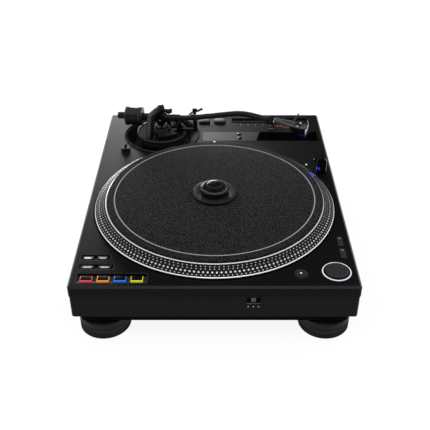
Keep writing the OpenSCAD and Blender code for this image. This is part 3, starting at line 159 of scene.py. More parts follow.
class Shape:
    """The points and faces of one piece, each face with its material."""

    def __init__(self, name):
        self.name, self.points, self.faces = name, [], []
        self.materials, self.finishes = [], []

    def add(self, form, material, place):
        """Adds a form, a pair of points and faces, moved by a matrix."""
        points, faces = form
        first = len(self.points)
        self.points += [place @ Vector(p) for p in points]
        if material not in self.materials:
            self.materials.append(material)
        self.faces += [[first + i for i in face] for face in faces]
        self.finishes += [self.materials.index(material)] * len(faces)

    def add_bands(self, bands, place, steps=128):
        """Adds a turned form in bands, each a material with its own part of the profile."""
        for material, profile in bands:
            self.add(turned(profile, steps), material, place)

    def fix(self, body, slot, *stands_for, sharp=32):
        """Makes the mesh, smooth but for edges over the sharp angle, and fixes it to a body."""
        mesh = bpy.data.meshes.new(self.name)
        mesh.from_pydata([p / 1000 for p in self.points], [], self.faces)
        for material in self.materials:
            mesh.materials.append(material)
        mesh.polygons.foreach_set("material_index", self.finishes)
        work = bmesh.new()
        work.from_mesh(mesh)
        bmesh.ops.remove_doubles(work, verts=work.verts, dist=1e-7)
        bmesh.ops.recalc_face_normals(work, faces=work.faces)
        work.to_mesh(mesh)
        work.free()
        mesh.shade_smooth()
        mesh.set_sharp_from_angle(angle=math.radians(sharp))
        piece = bpy.data.objects.new(self.name, mesh)
        bpy.context.collection.objects.link(piece)
        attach(piece, body)
        if stands_for:
            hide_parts(*stands_for)


def at(x, y, z=0):
    """A move to a place."""
    return Matrix.Translation((x, y, z))


# Moulded hard rubber: black and dull, with a soft shine along the ribs.
foot_rubber = finish("moulded hard rubber", "#070708", grain=0.9, depth=0.03, rough=(0.42, 0.62),
                     Specular_IOR_Level=0.2)
for number, x, y in ((1, -1, -1), (2, 1, -1), (3, -1, 1), (4, 1, 1)):
    drum = Shape(f"ribbed_foot_{number}")
    drum.add(turned(FOOT, RIBS * 2), foot_rubber, at(x * FOOT_X, y * FOOT_Y))
    drum.fix(f"foot_{number}", "foot_rubber", f"foot_{number}", sharp=50)


# Top casting
# The deck is one die-cast aluminium plate with a chamfered edge, sprayed with a satin black coat.
# The wells of the platter and the arm and the openings for the keys are cast and machined in it.
# What stands on it has its heights given over its upper face.
TOP = 89.75
UPRIGHT, LEVEL = 0.2, 0.95


def dress_faces(node, choose, *materials):
    """Puts several finishes on one solid; a rule gives the number of each face's own."""
    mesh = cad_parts[node].data
    mesh.materials.clear()
    for material in materials:
        mesh.materials.append(material)
    for face in mesh.polygons:
        face.material_index = choose(face)


def deck_face(face):
    """Tells the level faces of the deck, 0, from the upright ones, 1, and the chamfers, 2."""
    lift = abs(face.normal.z)
    return 1 if lift < UPRIGHT else 2 if lift < LEVEL else 0


# Sprayed satin coat on aluminium: dark and even, with a wide soft sheen. Its orange peel is drawn
# at 1.2 mm to show.
satin_coat = finish("satin black coat", "#080809", grain=1.2, depth=0.006, rough=(0.3, 0.36),
                    Specular_IOR_Level=0.12)
# A duller copy of the coat on the upright faces, so that they render darker: painted shade.
upright_shade_coat = finish("duller black coat as painted shade", "#090909", grain=1.2, depth=0.006, rough=(0.45, 0.55),
                   Specular_IOR_Level=0.06)
# A lighter, shinier copy of the coat on the chamfers: a painted highlight along the edges.
chamfer_highlight_coat = finish("lighter black coat as painted chamfer highlight", "#111112", grain=1.2, depth=0.006,
                   rough=(0.3, 0.36), Specular_IOR_Level=0.16)
dress_faces("deck_plate", deck_face, satin_coat, upright_shade_coat, chamfer_highlight_coat)


# Key trays
# The trays are grey mouldings let into the deck from below. Each pocket is deep at the back, and
# its floor rises to the deck at the front, so that a finger slides up to the keys.
BACK_WALLS = ((-124.5, -201.06, 85), (-146.3, -183.16, 43), (-149.4, -164.66, 37))


def rounded(w, d, r, z, n=4):
    """A level outline with rounded corners, centred, at a height."""
    loop = []
    for x, y, start in ((1, 1, 0), (-1, 1, 90), (-1, -1, 180), (1, -1, 270)):
        for i in range(n + 1):
            a = math.radians(start + 90 * i / n)
            loop.append((x * (w / 2 - r) + r * math.cos(a), y * (d / 2 - r) + r * math.sin(a), z))
    return loop


def stacked(outlines):
    """A form skinned over outlines with as many points each, closed at both ends."""
    count = len(outlines[0])
    points = [p for outline in outlines for p in outline]
    faces = [list(range(count))[::-1], list(range(len(points) - count, len(points)))]
    for k in range(len(outlines) - 1):
        a, b = k * count, (k + 1) * count
        faces += [(a + i, a + (i + 1) % count, b + (i + 1) % count, b + i) for i in range(count)]
    return points, faces


def bar(w, d, corner, low, high):
    """An upright bar with rounded corners, flat at both ends."""
    return stacked([rounded(w, d, corner, low), rounded(w, d, corner, high)])


# Moulded grey ABS: a shade lighter than the deck and evenly dull, so that the pockets read as sunk.
# The same grey on the fader's floor and round the start button's edge is painted light.
tray_grey_and_painted_light = finish("moulded grey ABS", "#2b2b2d", grain=0.8, depth=0.02, rough=(0.42, 0.55),
                  Specular_IOR_Level=0.12)
dress(tray_grey_and_painted_light, "key_trays")
# A thin black sheet on the steep back wall of each pocket is painted shade: that wall lies in
# its own shade.
shade = Shape("tray_back_walls_painted_shade")
for x, y, w in BACK_WALLS:
    shade.add(bar(w, 0.2, 0.08, -4.9, -0.3), matt_abs, at(x, y, TOP))
shade.fix("chassis", "tray_plastic")


# Pads
# Each pad is a block of clear polycarbonate in its own colour, lit from below, under a smoked top
# plate. The plate hides the lamp, so the light shows at the front and along the two sides.
PAD_W, PAD_D, PAD_TOP, PAD_LIT = 14.9, 9.8, 0.4, 2.6
PADS_X, PADS_Y, PAD_STEP = -124.5, -211.0, 20.45
PADS = ((1, "#b03035", "pad_red"), (2, "#c07222", "pad_orange"), (3, "#0456bc", "pad_blue"),
        (4, "#aaa800", "pad_yellow"))
KEY_FOOT = -9.2


def key_cap(w, d, low, high, corner, edge):
    """A moulded cap with rounded corners and a rounded top edge."""
    return stacked([
        rounded(w, d, corner, low), rounded(w, d, corner, high - edge),
        rounded(w - edge * 0.6, d - edge * 0.6, corner, high - edge * 0.3),
        rounded(w - edge * 2, d - edge * 2, max(corner - edge, 0.2), high)
    ])


# Smoked polycarbonate: nearly black and dull, so that the lamp doesn't show through its face.
smoked_plate = finish("smoked polycarbonate", "#090a0a", grain=2.0, depth=0.004, rough=(0.35, 0.45),
                      Specular_IOR_Level=0.015)
for number, colour, slot in PADS:
    # Clear polycarbonate lit from inside: the colour glows evenly, with a soft polish over it.
    lit = finish(f"lit polycarbonate {number}", colour, grain=1.5, depth=0.01, rough=(0.25, 0.35),
                 Emission_Color=linear(colour), Emission_Strength=0.5)
    here = at(PADS_X + (number - 2.5) * PAD_STEP, PADS_Y, TOP)
    pad = Shape(f"lit_pad_{number}")
    pad.add(key_cap(PAD_W, PAD_D, PAD_TOP - PAD_LIT, PAD_TOP - 0.1, 0.8, 0.3), lit, here)
    pad.add(key_cap(PAD_W - 0.2, PAD_D - 0.2, KEY_FOOT, PAD_TOP - PAD_LIT, 0.8, 0.1),
            smoked_plate, here)
    pad.add(key_cap(PAD_W - 1.7, PAD_D - 1.6, PAD_TOP - 0.8, PAD_TOP, 0.4, 0.06),
            smoked_plate, here @ at(0, 0.9))
    pad.fix(f"pad_{number}", slot, f"pad_{number}")


# Mode keys
# Four dark moulded keys stand in the two smaller trays. A lamp behind each shows through a bar
# left clear in its coat: bright on one key, dimmer on the others.
KEY_TOP, BAR_D = -0.3, 2.1

# Moulded key ABS, spark-eroded finer than the case: black, with a narrow soft sheen.
key_abs = finish("black key ABS", "#0a0a0b", grain=0.8, depth=0.015, rough=(0.38, 0.5),
                 Specular_IOR_Level=0.12)
# Clear plastic lit from behind: a milky, even glow, stronger or weaker.
bright_bar = finish("lit clear bar", "#b4b4bc", grain=1.0, depth=0.005, rough=(0.5, 0.6),
                    Emission_Color=linear("#c4c4d0"), Emission_Strength=0.5)
dim_bar = finish("dim clear bar", "#85858c", grain=1.0, depth=0.005, rough=(0.5, 0.6),
                 Emission_Color=linear("#a0a0aa"), Emission_Strength=0.35)
for number, x, y, w, d, clear in (
    (1, -158.8, -170.45, 13.6, 7.1, bright_bar), (2, -140.0, -170.45, 13.6, 7.1, dim_bar),
    (3, -157.1, -188.7, 16.7, 6.8, dim_bar), (4, -135.5, -188.7, 16.7, 6.8, dim_bar)
):
    key = Shape(f"mode_cap_{number}")
    key.add(key_cap(w, d, KEY_FOOT, KEY_TOP - 0.06, 0.9, 0.6), key_abs, at(x, y, TOP))
    key.add(key_cap(w * 0.6, BAR_D, KEY_TOP - 1, KEY_TOP, 0.5, 0.03), clear, at(x, y, TOP))
    key.fix(f"mode_key_{number}", "black_plastic", f"mode_key_{number}")


# Speed keys
# Two long keys at the right choose the turning speed. They are moulded like the others, in a
# lighter grey, with their number printed towards the far end.
SPEED_X, SPEED_TOP = 162.4, 1.0
WIDE_KEY_FOOT = -8
FIGURES_BACK, SPEED_FIGURES = 5.4, 3.4
INK = 0.03

# Screen-printed ink: a flat, pale grey film without shine.
# The same grey strip along the strobe tower's edge is a painted highlight.
printed_and_painted_highlight_grey = finish("screen-printed grey ink and painted highlight", "#a9a9ab", grain=0.6, depth=0.004,
                      rough=(0.5, 0.65), Specular_IOR_Level=0.3)


def numeral(name, words, size, place, body):
    """Plain figures printed on a surface, centred on a place."""
    curve = bpy.data.curves.new(name, "FONT")
    curve.body, curve.size, curve.extrude = words, size / 1000, INK / 1000
    curve.align_x, curve.align_y = "CENTER", "CENTER"
    curve.materials.append(printed_and_painted_highlight_grey)
    figures = bpy.data.objects.new(name, curve)
    bpy.context.collection.objects.link(figures)
    figures.matrix_world = Matrix.Translation(Vector(place) / 1000)
    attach(figures, body)


# Dark grey key ABS: a lighter face than the deck's, softly lit along its rounded edges.
speed_abs = finish("dark grey key ABS", "#212123", grain=0.8, depth=0.015, rough=(0.38, 0.5),
                   Specular_IOR_Level=0.15)
for number, y, words in ((1, -136.25, "33"), (2, -161.15, "45")):
    key = Shape(f"speed_cap_{number}")
    key.add(key_cap(7.2, 19.5, WIDE_KEY_FOOT, SPEED_TOP - 0.05, 0.8, 0.7), speed_abs,
            at(SPEED_X, y, TOP))
    key.fix(f"speed_key_{number}", "black_plastic", f"speed_key_{number}")
    numeral(f"speed_figures_{number}", words, SPEED_FIGURES,
            (SPEED_X, y + FIGURES_BACK, TOP + SPEED_TOP - 0.02),
            f"speed_key_{number}")


# Start and stop button, motor-off button
# The large button is a turned cap with a faint dish, in a ring of lit diffuser; the small one has
# a lamp's dot in its middle. Both are moulded in dark grey, with black sides. A lighter grey band
# round the large cap's rounded edge is a painted highlight.
START_X, START_Y = 149.5, -197.0
OFF_X, OFF_Y = 105.4, -201.0
start = Shape("start_cap")
start.add_bands((
    (speed_abs, [(0, 2.3), (9, 2.32), (12.6, 2.5), (13.4, 2.6)]),
    # A lighter grey band round the cap's rounded edge: painted highlight.
    (tray_grey_and_painted_light, [(13.4, 2.6), (14, 2.35), (14.3, 1.9)]),
    (key_abs, [(14.3, 1.9), (14.5, 1.5), (14.8, -0.2), (15, -0.6), (15, -6), (0, -6)])
), at(START_X, START_Y, TOP))
start.fix("start_stop_button", "black_plastic", "start_stop_button")
# Diffusing acrylic lit white from below: a smooth glow in which no lamp can be made out.
lit_acrylic = finish("lit white acrylic", "#c2c2cc", grain=1.0, depth=0.005, rough=(0.3, 0.4),
                     Emission_Color=linear("#c4c4d2"), Emission_Strength=0.4)
off = Shape("motor_off_cap")
off.add_bands((
    (speed_abs, [(0, 0.6), (5, 0.66), (6.8, 0.86), (7.4, 1), (7.8, 0.7)]),
    (key_abs, [(7.8, 0.7), (8, 0), (9.4, -0.4), (9.4, -6), (0, -6)])
), at(OFF_X, OFF_Y, TOP))
off.add(turned([(0, 1.0), (0.8, 0.98), (1.2, 0.84), (1.2, 0), (0, 0)], 32), lit_acrylic,
        at(OFF_X, OFF_Y, TOP))
off.fix("motor_off_button", "black_plastic", "motor_off_button")


# Function buttons and reset button
# Two square keys with grey tops stand beside the tempo fader, and a small round key with three
# printed dots in front of it. All three are moulded, and held from below.
FUNCTION_Y = 201.3
RESET_X, RESET_Y = 93.0, 173.7

# Satin grey ABS: a plain mid grey without glints.
grey_abs = finish("satin grey ABS", "#2c2c2e", grain=0.8, depth=0.01, rough=(0.4, 0.5),
                  Specular_IOR_Level=0.05)
for number, x in ((1, -17.15), (2, 8.65)):
    key = Shape(f"function_cap_{number}")
    key.add(key_cap(18.2, 13.2, WIDE_KEY_FOOT, 1.2, 0.8, 0.3), matt_abs, at(x, FUNCTION_Y, TOP))
    key.add(key_cap(17.6, 12.6, 1, 1.8, 0.7, 0.3), grey_abs, at(x, FUNCTION_Y, TOP))
    key.fix(f"function_button_{number}", "tray_plastic", f"function_button_{number}")
reset = Shape("reset_cap")
reset.add(turned([(0, 0.4), (4.6, 0.42), (5.6, 0.56), (6, 0.3), (6.1, 0), (6.1, -6), (0, -6)]),
          key_abs, at(RESET_X, RESET_Y, TOP))
for x in (-2.6, 0, 2.6):
    reset.add(turned([(0, 0.5), (0.6, 0.48), (0.7, 0.3), (0, 0.3)], 20), printed_and_painted_highlight_grey,
              at(RESET_X + x, RESET_Y, TOP))
reset.fix("reset_button", "black_plastic", "reset_button")


# Tempo fader
# A moulded tray let into the deck holds the fader: its cap slides along a slot, and the two
# lighter grey strips either side of it on the black floor are painted light. A scale of ticks and
# plain figures is printed on the deck in front of the fader.
FADER_X, FADER_Y, FADER_FLOOR = 93.0, 202.5, -4
TICK_STEP, TICKS_Y, FIGURES_Y = 12.33, 190.6, 187.2
dress(key_abs, "fader_tray")
# Two lighter strips on the floor of the black pocket: painted light.
lit_floor_strips = Shape("fader_floor_painted_light")
for y in (-5.2, 5.2):
    lit_floor_strips.add(key_cap(122, 4.6, FADER_FLOOR - 0.3, FADER_FLOOR + 0.35, 0.3, 0.15), tray_grey_and_painted_light,
               at(FADER_X, FADER_Y + y, TOP))
lit_floor_strips.fix("chassis", "tray_plastic")
at_fader = at(FADER_X, FADER_Y, TOP)
cap = Shape("fader_cap")
cap.add(stacked([
    rounded(11, 15, 1.0, FADER_FLOOR + 0.5), rounded(11, 15, 1.0, 0.5),
    rounded(7.6, 14.4, 0.9, 4.6), rounded(6.6, 13.6, 0.8, 5.5)
]), key_abs, at_fader)
cap.add(key_cap(0.9, 13.4, 5, 5.5, 0.2, 0.02), printed_and_painted_highlight_grey, at_fader)
cap.add(bar(8, 2.2, 0.3, -10, FADER_FLOOR + 1), oxide_steel, at_fader)
cap.fix("tempo_fader", "black_plastic", "tempo_fader")
scale = Shape("fader_scale")
for step in range(-4, 5):
    x = FADER_X + step * TICK_STEP
    scale.add(key_cap(0.5, 2.2 if step else 3.2, -0.1, 0.04, 0.1, 0.01), printed_and_painted_highlight_grey,
              at(x, TICKS_Y, TOP))
    if step:
        numeral(f"fader_figure_{step + 5}", str(abs(step) * 2), 3.2,
                (x, FIGURES_Y, TOP + 0.02), "chassis")
scale.fix("chassis", "deck_metal")


# Display strip
# One strip is let into the deck behind the platter, and glued. Its left is a label of brushed
# aluminium with two lenses; its right is a display behind black acrylic.

# Brushed aluminium: dark grey metal with a fine broken lustre.
brushed_label = finish("brushed aluminium", "#5c5c5f", grain=1.0, depth=0.004, rough=(0.28, 0.36),
                       Metallic=1.0)
dress(brushed_label, "label_strip")
# Polished black acrylic: deep black, with a faint clear mirror.
black_acrylic = finish("polished black acrylic", "#010101", grain=6.0, depth=0.001,
                       rough=(0.06, 0.1), Specular_IOR_Level=0.1)
dress(black_acrylic, "display_glass")


# Lenses and lamps
# The lamps show through small acrylic lenses pressed into the deck, and through a ring round the
# start button. The strobe tower has a clear window towards the platter and a blue lens in front.
LENS_FOOT, TOWER_FRONT = -4, 30.43


def turn(degrees, axis):
    """A turn about one axis."""
    return Matrix.Rotation(math.radians(degrees), 4, axis)


# Blue acrylic lit from inside: a small, full glow.
blue_lens = finish("lit blue acrylic", "#101890", grain=1.0, depth=0.005, rough=(0.2, 0.3),
                   Emission_Color=linear("#1018f0"), Emission_Strength=1.0)
# Clear acrylic over a lamp that is off: pale grey, with a small sharp glint.
clear_acrylic = finish("clear acrylic", "#8d8d92", grain=1.0, depth=0.004, rough=(0.15, 0.25),
                       Specular_IOR_Level=0.5)
lamps = Shape("lamp_lenses")
lamps.add_bands((
    (lit_acrylic, [(15.4, LENS_FOOT), (18.2, LENS_FOOT), (18.2, -0.6), (17.7, 0), (17.6, 0.2),
                   (16.5, 0.2)]),
    (matt_abs, [(16.5, 0.2), (16.3, -0.1), (15.4, -0.6), (15.4, LENS_FOOT)])
), at(START_X, START_Y, TOP))
for x, y, r, up, material in (
    (139.7, 58.2, 1.6, 0.3, lit_acrylic), (93.0, 185.0, 1.2, 0.3, clear_acrylic),
    (105.2, 183.1, 0.9, 0.3, clear_acrylic), (40.3, 154.8, 3.6, 1.2, black_acrylic),
    (40.3, 141.8, 3.6, 1.2, black_acrylic)
):
    dome = [(0, up), (r * 0.6, up * 0.85), (r, up * 0.3), (r, LENS_FOOT), (0, LENS_FOOT)]
    lamps.add(turned(dome, 48), material, at(x, y, TOP))
lamps.add(key_cap(3.4, 3.4, LENS_FOOT, 0.3, 0.5, 0.2), lit_acrylic, at(-0.3, 129.6, TOP))
lamps.add(bar(1.6, 5.4, 0.4, 4.6, 9.4), clear_acrylic, at(153.1, 35.0, TOP))
lamps.add(key_cap(2.8, 4.6, -0.5, 0.5, 1.3, 0.3), blue_lens,
          at(154.8, TOWER_FRONT, TOP + 9.2) @ turn(90, "X"))
lamps.fix("chassis", "lens_clear", "indicator_lenses")


# Strobe tower, target light and shell post
# Small fittings pressed into the deck: a rounded tower of matt black ABS, with a pale grey strip
# along its edge as a painted highlight, a lamp that rises out of its tube, and a flanged post for
# a spare headshell. The tower's lamp throws a weak blue beam on the platter's speed marks.
TOWER_SHOULDER = 20.25
BEAM_FROM, BEAM_TO = (0.1512, 0.035, (TOP + 9) / 1000), (0.1435, 0.0205, (TOP + 6) / 1000)


def lamp(name, kind, place, aim, **settings):
    """A lamp at a place, in metres, turned to a point."""
    light = bpy.data.lights.new(name, kind)
    for setting, value in settings.items():
        setattr(light, setting, value)
    holder = bpy.data.objects.new(name, light)
    holder.location = place
    holder.rotation_euler = (Vector(aim) - Vector(place)).to_track_quat("-Z", "Y").to_euler()
    bpy.context.collection.objects.link(holder)


dress(matt_abs, "strobe_tower")
dress(black_acrylic, "target_light")
dress(key_abs, "shell_post")
# A pale grey strip up the tower's right edge and over its shoulder: a painted highlight.
painted_edge_highlight = Shape("tower_edge_painted_highlight")
painted_edge_highlight.add(bar(0.5, 0.4, 0.1, 5, TOWER_SHOULDER), printed_and_painted_highlight_grey, at(165.45, 30.4, TOP))
painted_edge_highlight.add(turned([(6.2, 0), (6.7, 0), (6.7, 0.2), (6.2, 0.2)], 24, 0, 65), printed_and_painted_highlight_grey,
              at(159, TOWER_FRONT, TOP + TOWER_SHOULDER) @ turn(90, "X"))
painted_edge_highlight.fix("chassis", "black_plastic")
lamp("strobe_beam", "SPOT", BEAM_FROM, BEAM_TO, energy=0.014, color=linear("#5961ff")[:3],
     spot_size=1.0, spot_blend=0.8, shadow_soft_size=0.001)


# Front switch
# A slide moulded in black shows in a window of the base. The slide's bevels are grey, and so are
# thin lines above and below the window: painted highlights on their edges. Three marks for its
# places are printed under the switch.
SWITCH_X, SWITCH_FRONT, MARKS_Z = 47.1, -225.82, 58.2
# The bevels lie in front of this place, in metres as the solid's points are.
BEVELS_BEFORE = -0.2238

# Grey ABS on the bevels and the window's edges: a paler rim round the dark slide, painted
# highlight.
switch_bevel_highlight = finish("grey ABS as painted bevel highlight", "#4c4c4f", grain=0.8, depth=0.01, rough=(0.4, 0.5),
                    Specular_IOR_Level=0.1)
dress_faces("front_switch", lambda face: int(face.center.y < BEVELS_BEFORE), matt_abs, switch_bevel_highlight)
marks = Shape("switch_marks")
for x in (-6.2, 0, 6.2):
    marks.add(bar(0.9, 0.1, 0.04, -1, 1), printed_and_painted_highlight_grey, at(SWITCH_X + x, SWITCH_FRONT, MARKS_Z))
# Thin grey lines above and below the window: painted highlights on its edges.
for z, h in ((63.3, 0.8), (73.7, 0.3)):
    marks.add(bar(17, 0.1, 0.04, -h / 2, h / 2), switch_bevel_highlight, at(SWITCH_X, SWITCH_FRONT, z))
marks.fix("chassis", "base_resin")


# Platter
# The platter is turned from cast aluminium and anodised dark. Its two edges are cut bright
# afterwards, and four rows of bright dots are milled into the sloping band; under a lamp each row
# stands still at its own speed.
PLATTER_Y, PLATTER_TOP = -46.9, 12.6
BAND_IN, BAND_OUT = (150.9, 11.6), (164.8, 2.7)
# Each row has its number of dots, its radius and the radius of a dot.
DOT_ROWS = ((170, 153.5, 0.68), (174, 156.2, 0.68), (180, 159.6, 1.24), (186, 162.9, 0.76))
on_axis = at(0, PLATTER_Y, TOP)

# Anodised aluminium, bead-blasted: a deep matt grey-black.
dark_anodised = finish("dark anodised aluminium", "#070708", grain=0.7, depth=0.01,
                       rough=(0.45, 0.6), Specular_IOR_Level=0.1)
# Aluminium cut with a diamond tool: bright, with a soft turned lustre.
cut_bright = finish("bright cut aluminium", "#c4c4c6", grain=1.0, depth=0.006, rough=(0.3, 0.42),
                    Metallic=1.0)
# Milled aluminium: a little duller than the cut edges, so that each dot reads on its own.
milled = finish("milled aluminium", "#a9a9ab", grain=1.0, depth=0.006, rough=(0.34, 0.46),
                Metallic=1.0)
platter = Shape("turned_platter")
platter.add_bands((
    (dark_anodised, [(3.65, PLATTER_TOP), (149.2, PLATTER_TOP), (149.2, 12), (149.0, 12)]),
    (cut_bright, [(149.0, 12), (150.2, 12), BAND_IN]),
    (dark_anodised, [BAND_IN, (151.3, 11.2), (164.4, 2.95), BAND_OUT]),
    (cut_bright, [BAND_OUT, (165.5, 2.3), (165.9, 1.75)]),
    (dark_anodised, [(165.9, 1.75), (166, 1.5), (166, -2.5), (163, -9.5), (146.2, -9.5),
                     (141.2, 7.6), (20, 7.6), (20, 0.6), (3.65, 0.6), (3.65, PLATTER_TOP)])
), on_axis, 256)
fall = (BAND_IN[1] - BAND_OUT[1]) / (BAND_OUT[0] - BAND_IN[0])
lean = turn(math.degrees(math.atan(fall)), "Y")
for count, radius, size in DOT_ROWS:
    dot = turned([(0, 0.12), (size * 0.7, 0.1), (size, 0), (size, -0.4)], 12)
    outwards = at(radius, 0, BAND_IN[1] - (radius - BAND_IN[0]) * fall) @ lean
    for i in range(count):
        platter.add(dot, milled, on_axis @ turn(360 * (i + 0.5) / count, "Z") @ outwards)
platter.fix("turntable", "platter_metal", "platter")
# Ground steel: bright and smooth, with a sharp streak of light.
ground_steel = finish("ground steel", "#c9cacc", grain=0.8, depth=0.004, rough=(0.2, 0.3),
                      Metallic=1.0)
dress(ground_steel, "spindle")


# Slipmat and record clamp
# The mat is a disc of pressed felt with one printed ring. The clamp is turned from black ABS: a
# flat foot, a grip under a rim with a plated lip, and a polished, domed button. The tops of the
# foot and the rim are lightened to grey as a painted sheen, and a black ring round the root of
# the grip is painted shade.
MAT_FOOT, MAT_TOP = 12.63, 15.1

# Pressed felt: matt, with fibres that scatter light. The fibre clumps are drawn at 1.9 mm to show.
felt = finish("pressed felt", "#1d1d1e", grain=1.9, depth=0.12, rough=(0.85, 0.95),
              tints=("#010101", "#2c2c2e"), detail=1.0, Specular_IOR_Level=0.03,
              Sheen_Weight=0.02, Sheen_Roughness=0.5)
# Ink printed on felt: a dull grey line that takes on some of the felt's unevenness.
printed_ring = finish("printed ring ink", "#858588", grain=1.7, depth=0.05, rough=(0.7, 0.85),
                      Specular_IOR_Level=0.2)
mat = Shape("felt_mat")
mat.add_bands((
    (felt, [(3.9, MAT_FOOT), (3.9, MAT_TOP), (147.6, MAT_TOP), (148.1, MAT_TOP - 0.2),
            (148.3, MAT_TOP - 0.7), (148.3, MAT_FOOT), (3.9, MAT_FOOT)]),
    (printed_ring, [(137.4, MAT_TOP - 0.1), (137.4, MAT_TOP + INK), (138.8, MAT_TOP + INK),
                    (138.8, MAT_TOP - 0.1)])
), on_axis, 256)
mat.fix("slipmat", "felt", "slipmat")

# Black ABS lightened to grey on the tops of the foot and the rim: a painted sheen.
sheen_painted_abs = finish("black ABS with painted sheen", "#1b1b1d", grain=0.9, depth=0.006, rough=(0.4, 0.5),
                   Specular_IOR_Level=0.1)
# Polished black ABS: black, with one clear highlight on the dome.
gloss_black = finish("polished black ABS", "#060607", grain=3.0, depth=0.003, rough=(0.2, 0.26),
                     Specular_IOR_Level=0.12)
# Dark chrome: black where it faces the dark, with bright glints where it turns to a lamp.
dark_chrome = finish("dark chrome plate", "#68686c", grain=4.0, depth=0.002, rough=(0.1, 0.16),
                     Metallic=1.0)
# The clamp's heights are given over the mat: where its grip starts, and where its rim is.
GRIP, RIM = 4.2, 12.0
clamp = Shape("turned_clamp")
clamp.add_bands((
    (key_abs, [(0, 10.6), (3.9, 10.6), (3.9, 0), (29.9, 0), (30.4, 0.5), (30.4, GRIP - 0.7),
               (30.1, GRIP - 0.2)]),
    (sheen_painted_abs, [(30.1, GRIP - 0.2), (29.4, GRIP), (24.0, GRIP - 0.2), (20.4, GRIP - 0.9)]),
    # Black from the dish's inner edge down round the grip's root: painted shade.
    (key_abs, [(20.4, GRIP - 0.9), (19.2, GRIP - 1.1), (18.9, GRIP), (18.8, RIM - 3.2),
               (19.6, RIM - 2.2), (20.1, RIM - 1.7)]),
    (sheen_painted_abs, [(20.1, RIM - 1.7), (20.2, RIM - 1.2), (19.6, RIM - 0.6), (17.5, RIM - 0.1)]),
    (dark_chrome, [(17.5, RIM - 0.1), (17.2, RIM + 0.1), (17.0, RIM), (16.9, RIM - 0.3)]),
    (key_abs, [(16.9, RIM - 0.3), (16.2, RIM - 1.6), (14.6, RIM - 2.6), (11.9, RIM - 2.6),
               (11.4, RIM - 2.0), (11.2, RIM + 3.0), (11.0, RIM + 3.6)]),
    (gloss_black, [(11.0, RIM + 3.6), (10.6, RIM + 4.0), (9.4, RIM + 4.6), (7.6, RIM + 5.0),
                   (5.0, RIM + 5.3), (0, RIM + 5.4)])
), at(0, PLATTER_Y, TOP + MAT_TOP), 160)
clamp.fix("clamp", "black_gloss", "record_clamp", sharp=60)


# Arm well and height ring
# The arm stands in a turned black dish with two grey edges. Round its base lies a black anodised
# ring with a ribbed side; turning it raises or lowers the arm.
PIVOT_X, PIVOT_Y = -85.56, 150.34
WELL_BACK = 5.6
RING_TOP, RING_RIB = 10, 0.5

# Blasted aluminium, anodised black: an even black that gives back almost no light.
blasted_anodised = finish("blasted black anodised aluminium", "#0a0a0b", grain=0.8, depth=0.006,
                          rough=(0.3, 0.38), Specular_IOR_Level=0.003)
dress(blasted_anodised, "arm_well")
# Machined aluminium, anodised black: dark, with a soft line of light along each rib.
black_anodised = finish("black anodised aluminium", "#151516", grain=0.7, depth=0.006,
                        rough=(0.26, 0.34), Specular_IOR_Level=0.025)
# Machined aluminium, anodised grey: plain, thin lines that draw the edges.
grey_anodised = finish("grey anodised aluminium", "#323234", grain=0.7, depth=0.006,
                       rough=(0.3, 0.4), Specular_IOR_Level=0.008)
well_edge = Shape("well_edge")
for r, up in ((60.9, 0.84), (58.2, -0.05)):
    lip = [(r - 0.7, up - 0.3), (r - 0.6, up), (r, up), (r + 0.2, up - 0.2)]
    well_edge.add(turned(lip, 160, -37, 300), grey_anodised, at(PIVOT_X, PIVOT_Y + WELL_BACK, TOP))
well_edge.fix("chassis", "well_metal")
ring = Shape("ribbed_height_ring")
ring.add_bands((
    (black_anodised, [(27.4, -7.7), (35.2, -7.7), (35.2, -0.6), (39.7, -0.6), (40.2, -0.1),
                      (40.2, 1.2), (40.2, 1.6, RING_RIB), (40.2, RING_TOP - 1.8, RING_RIB),
                      (40.2, RING_TOP - 1.3)]),
    (grey_anodised, [(40.2, RING_TOP - 1.3), (40.0, RING_TOP - 0.5), (39.3, RING_TOP)]),
    (black_anodised, [(39.3, RING_TOP), (37.6, RING_TOP)]),
    (grey_anodised, [(37.6, RING_TOP), (37.2, RING_TOP), (36.8, RING_TOP - 0.5)]),
    (black_anodised, [(36.8, RING_TOP - 0.5), (36.8, 1.4), (31.6, 1.4), (31.6, -4.1),
                      (27.4, -4.1), (27.4, -7.7)])
), at(PIVOT_X, PIVOT_Y, TOP), 240)
ring.fix("height_ring", "arm_black", "height_ring", sharp=40)


# Arm base, rest and cueing
# The base is machined with its pivot bridge, cueing column and arm rest, and anodised black, and
# so are the gimbal, the lifter bar, the clip, the cueing lever and the skating knob. The bridge
# is lacquered over that.
ARM_TURN, BRIDGE_TURN = -6, 241
# Cross-sections of the bridge from its foot to the pivot: the inner and the outer point of each,
# with their distance from the pivot and their height.
BRIDGE = (((27.8, 9.5), (35.4, 9.5)), ((21.3, 40.6), (29, 45.4)), ((20.4, 42.6), (28.4, 47.4)),
          ((18, 44.6), (26.4, 49)), ((4.4, 47.5), (4, 52.6)), ((-3.2, 47.6), (-3.2, 52.6)))
at_base = at(PIVOT_X, PIVOT_Y, TOP) @ turn(ARM_TURN, "Z")

# Machined aluminium, anodised satin black: black, with a thin soft sheen on what is rounded.
satin_anodised = finish("satin black anodised aluminium", "#0c0c0d", grain=0.8, depth=0.006,
                        rough=(0.26, 0.34), Specular_IOR_Level=0.015)
dress(satin_anodised, "arm_base", "gimbal", "lifter_bar", "arm_clip", "cue_lever",
      "anti_skate_knob")
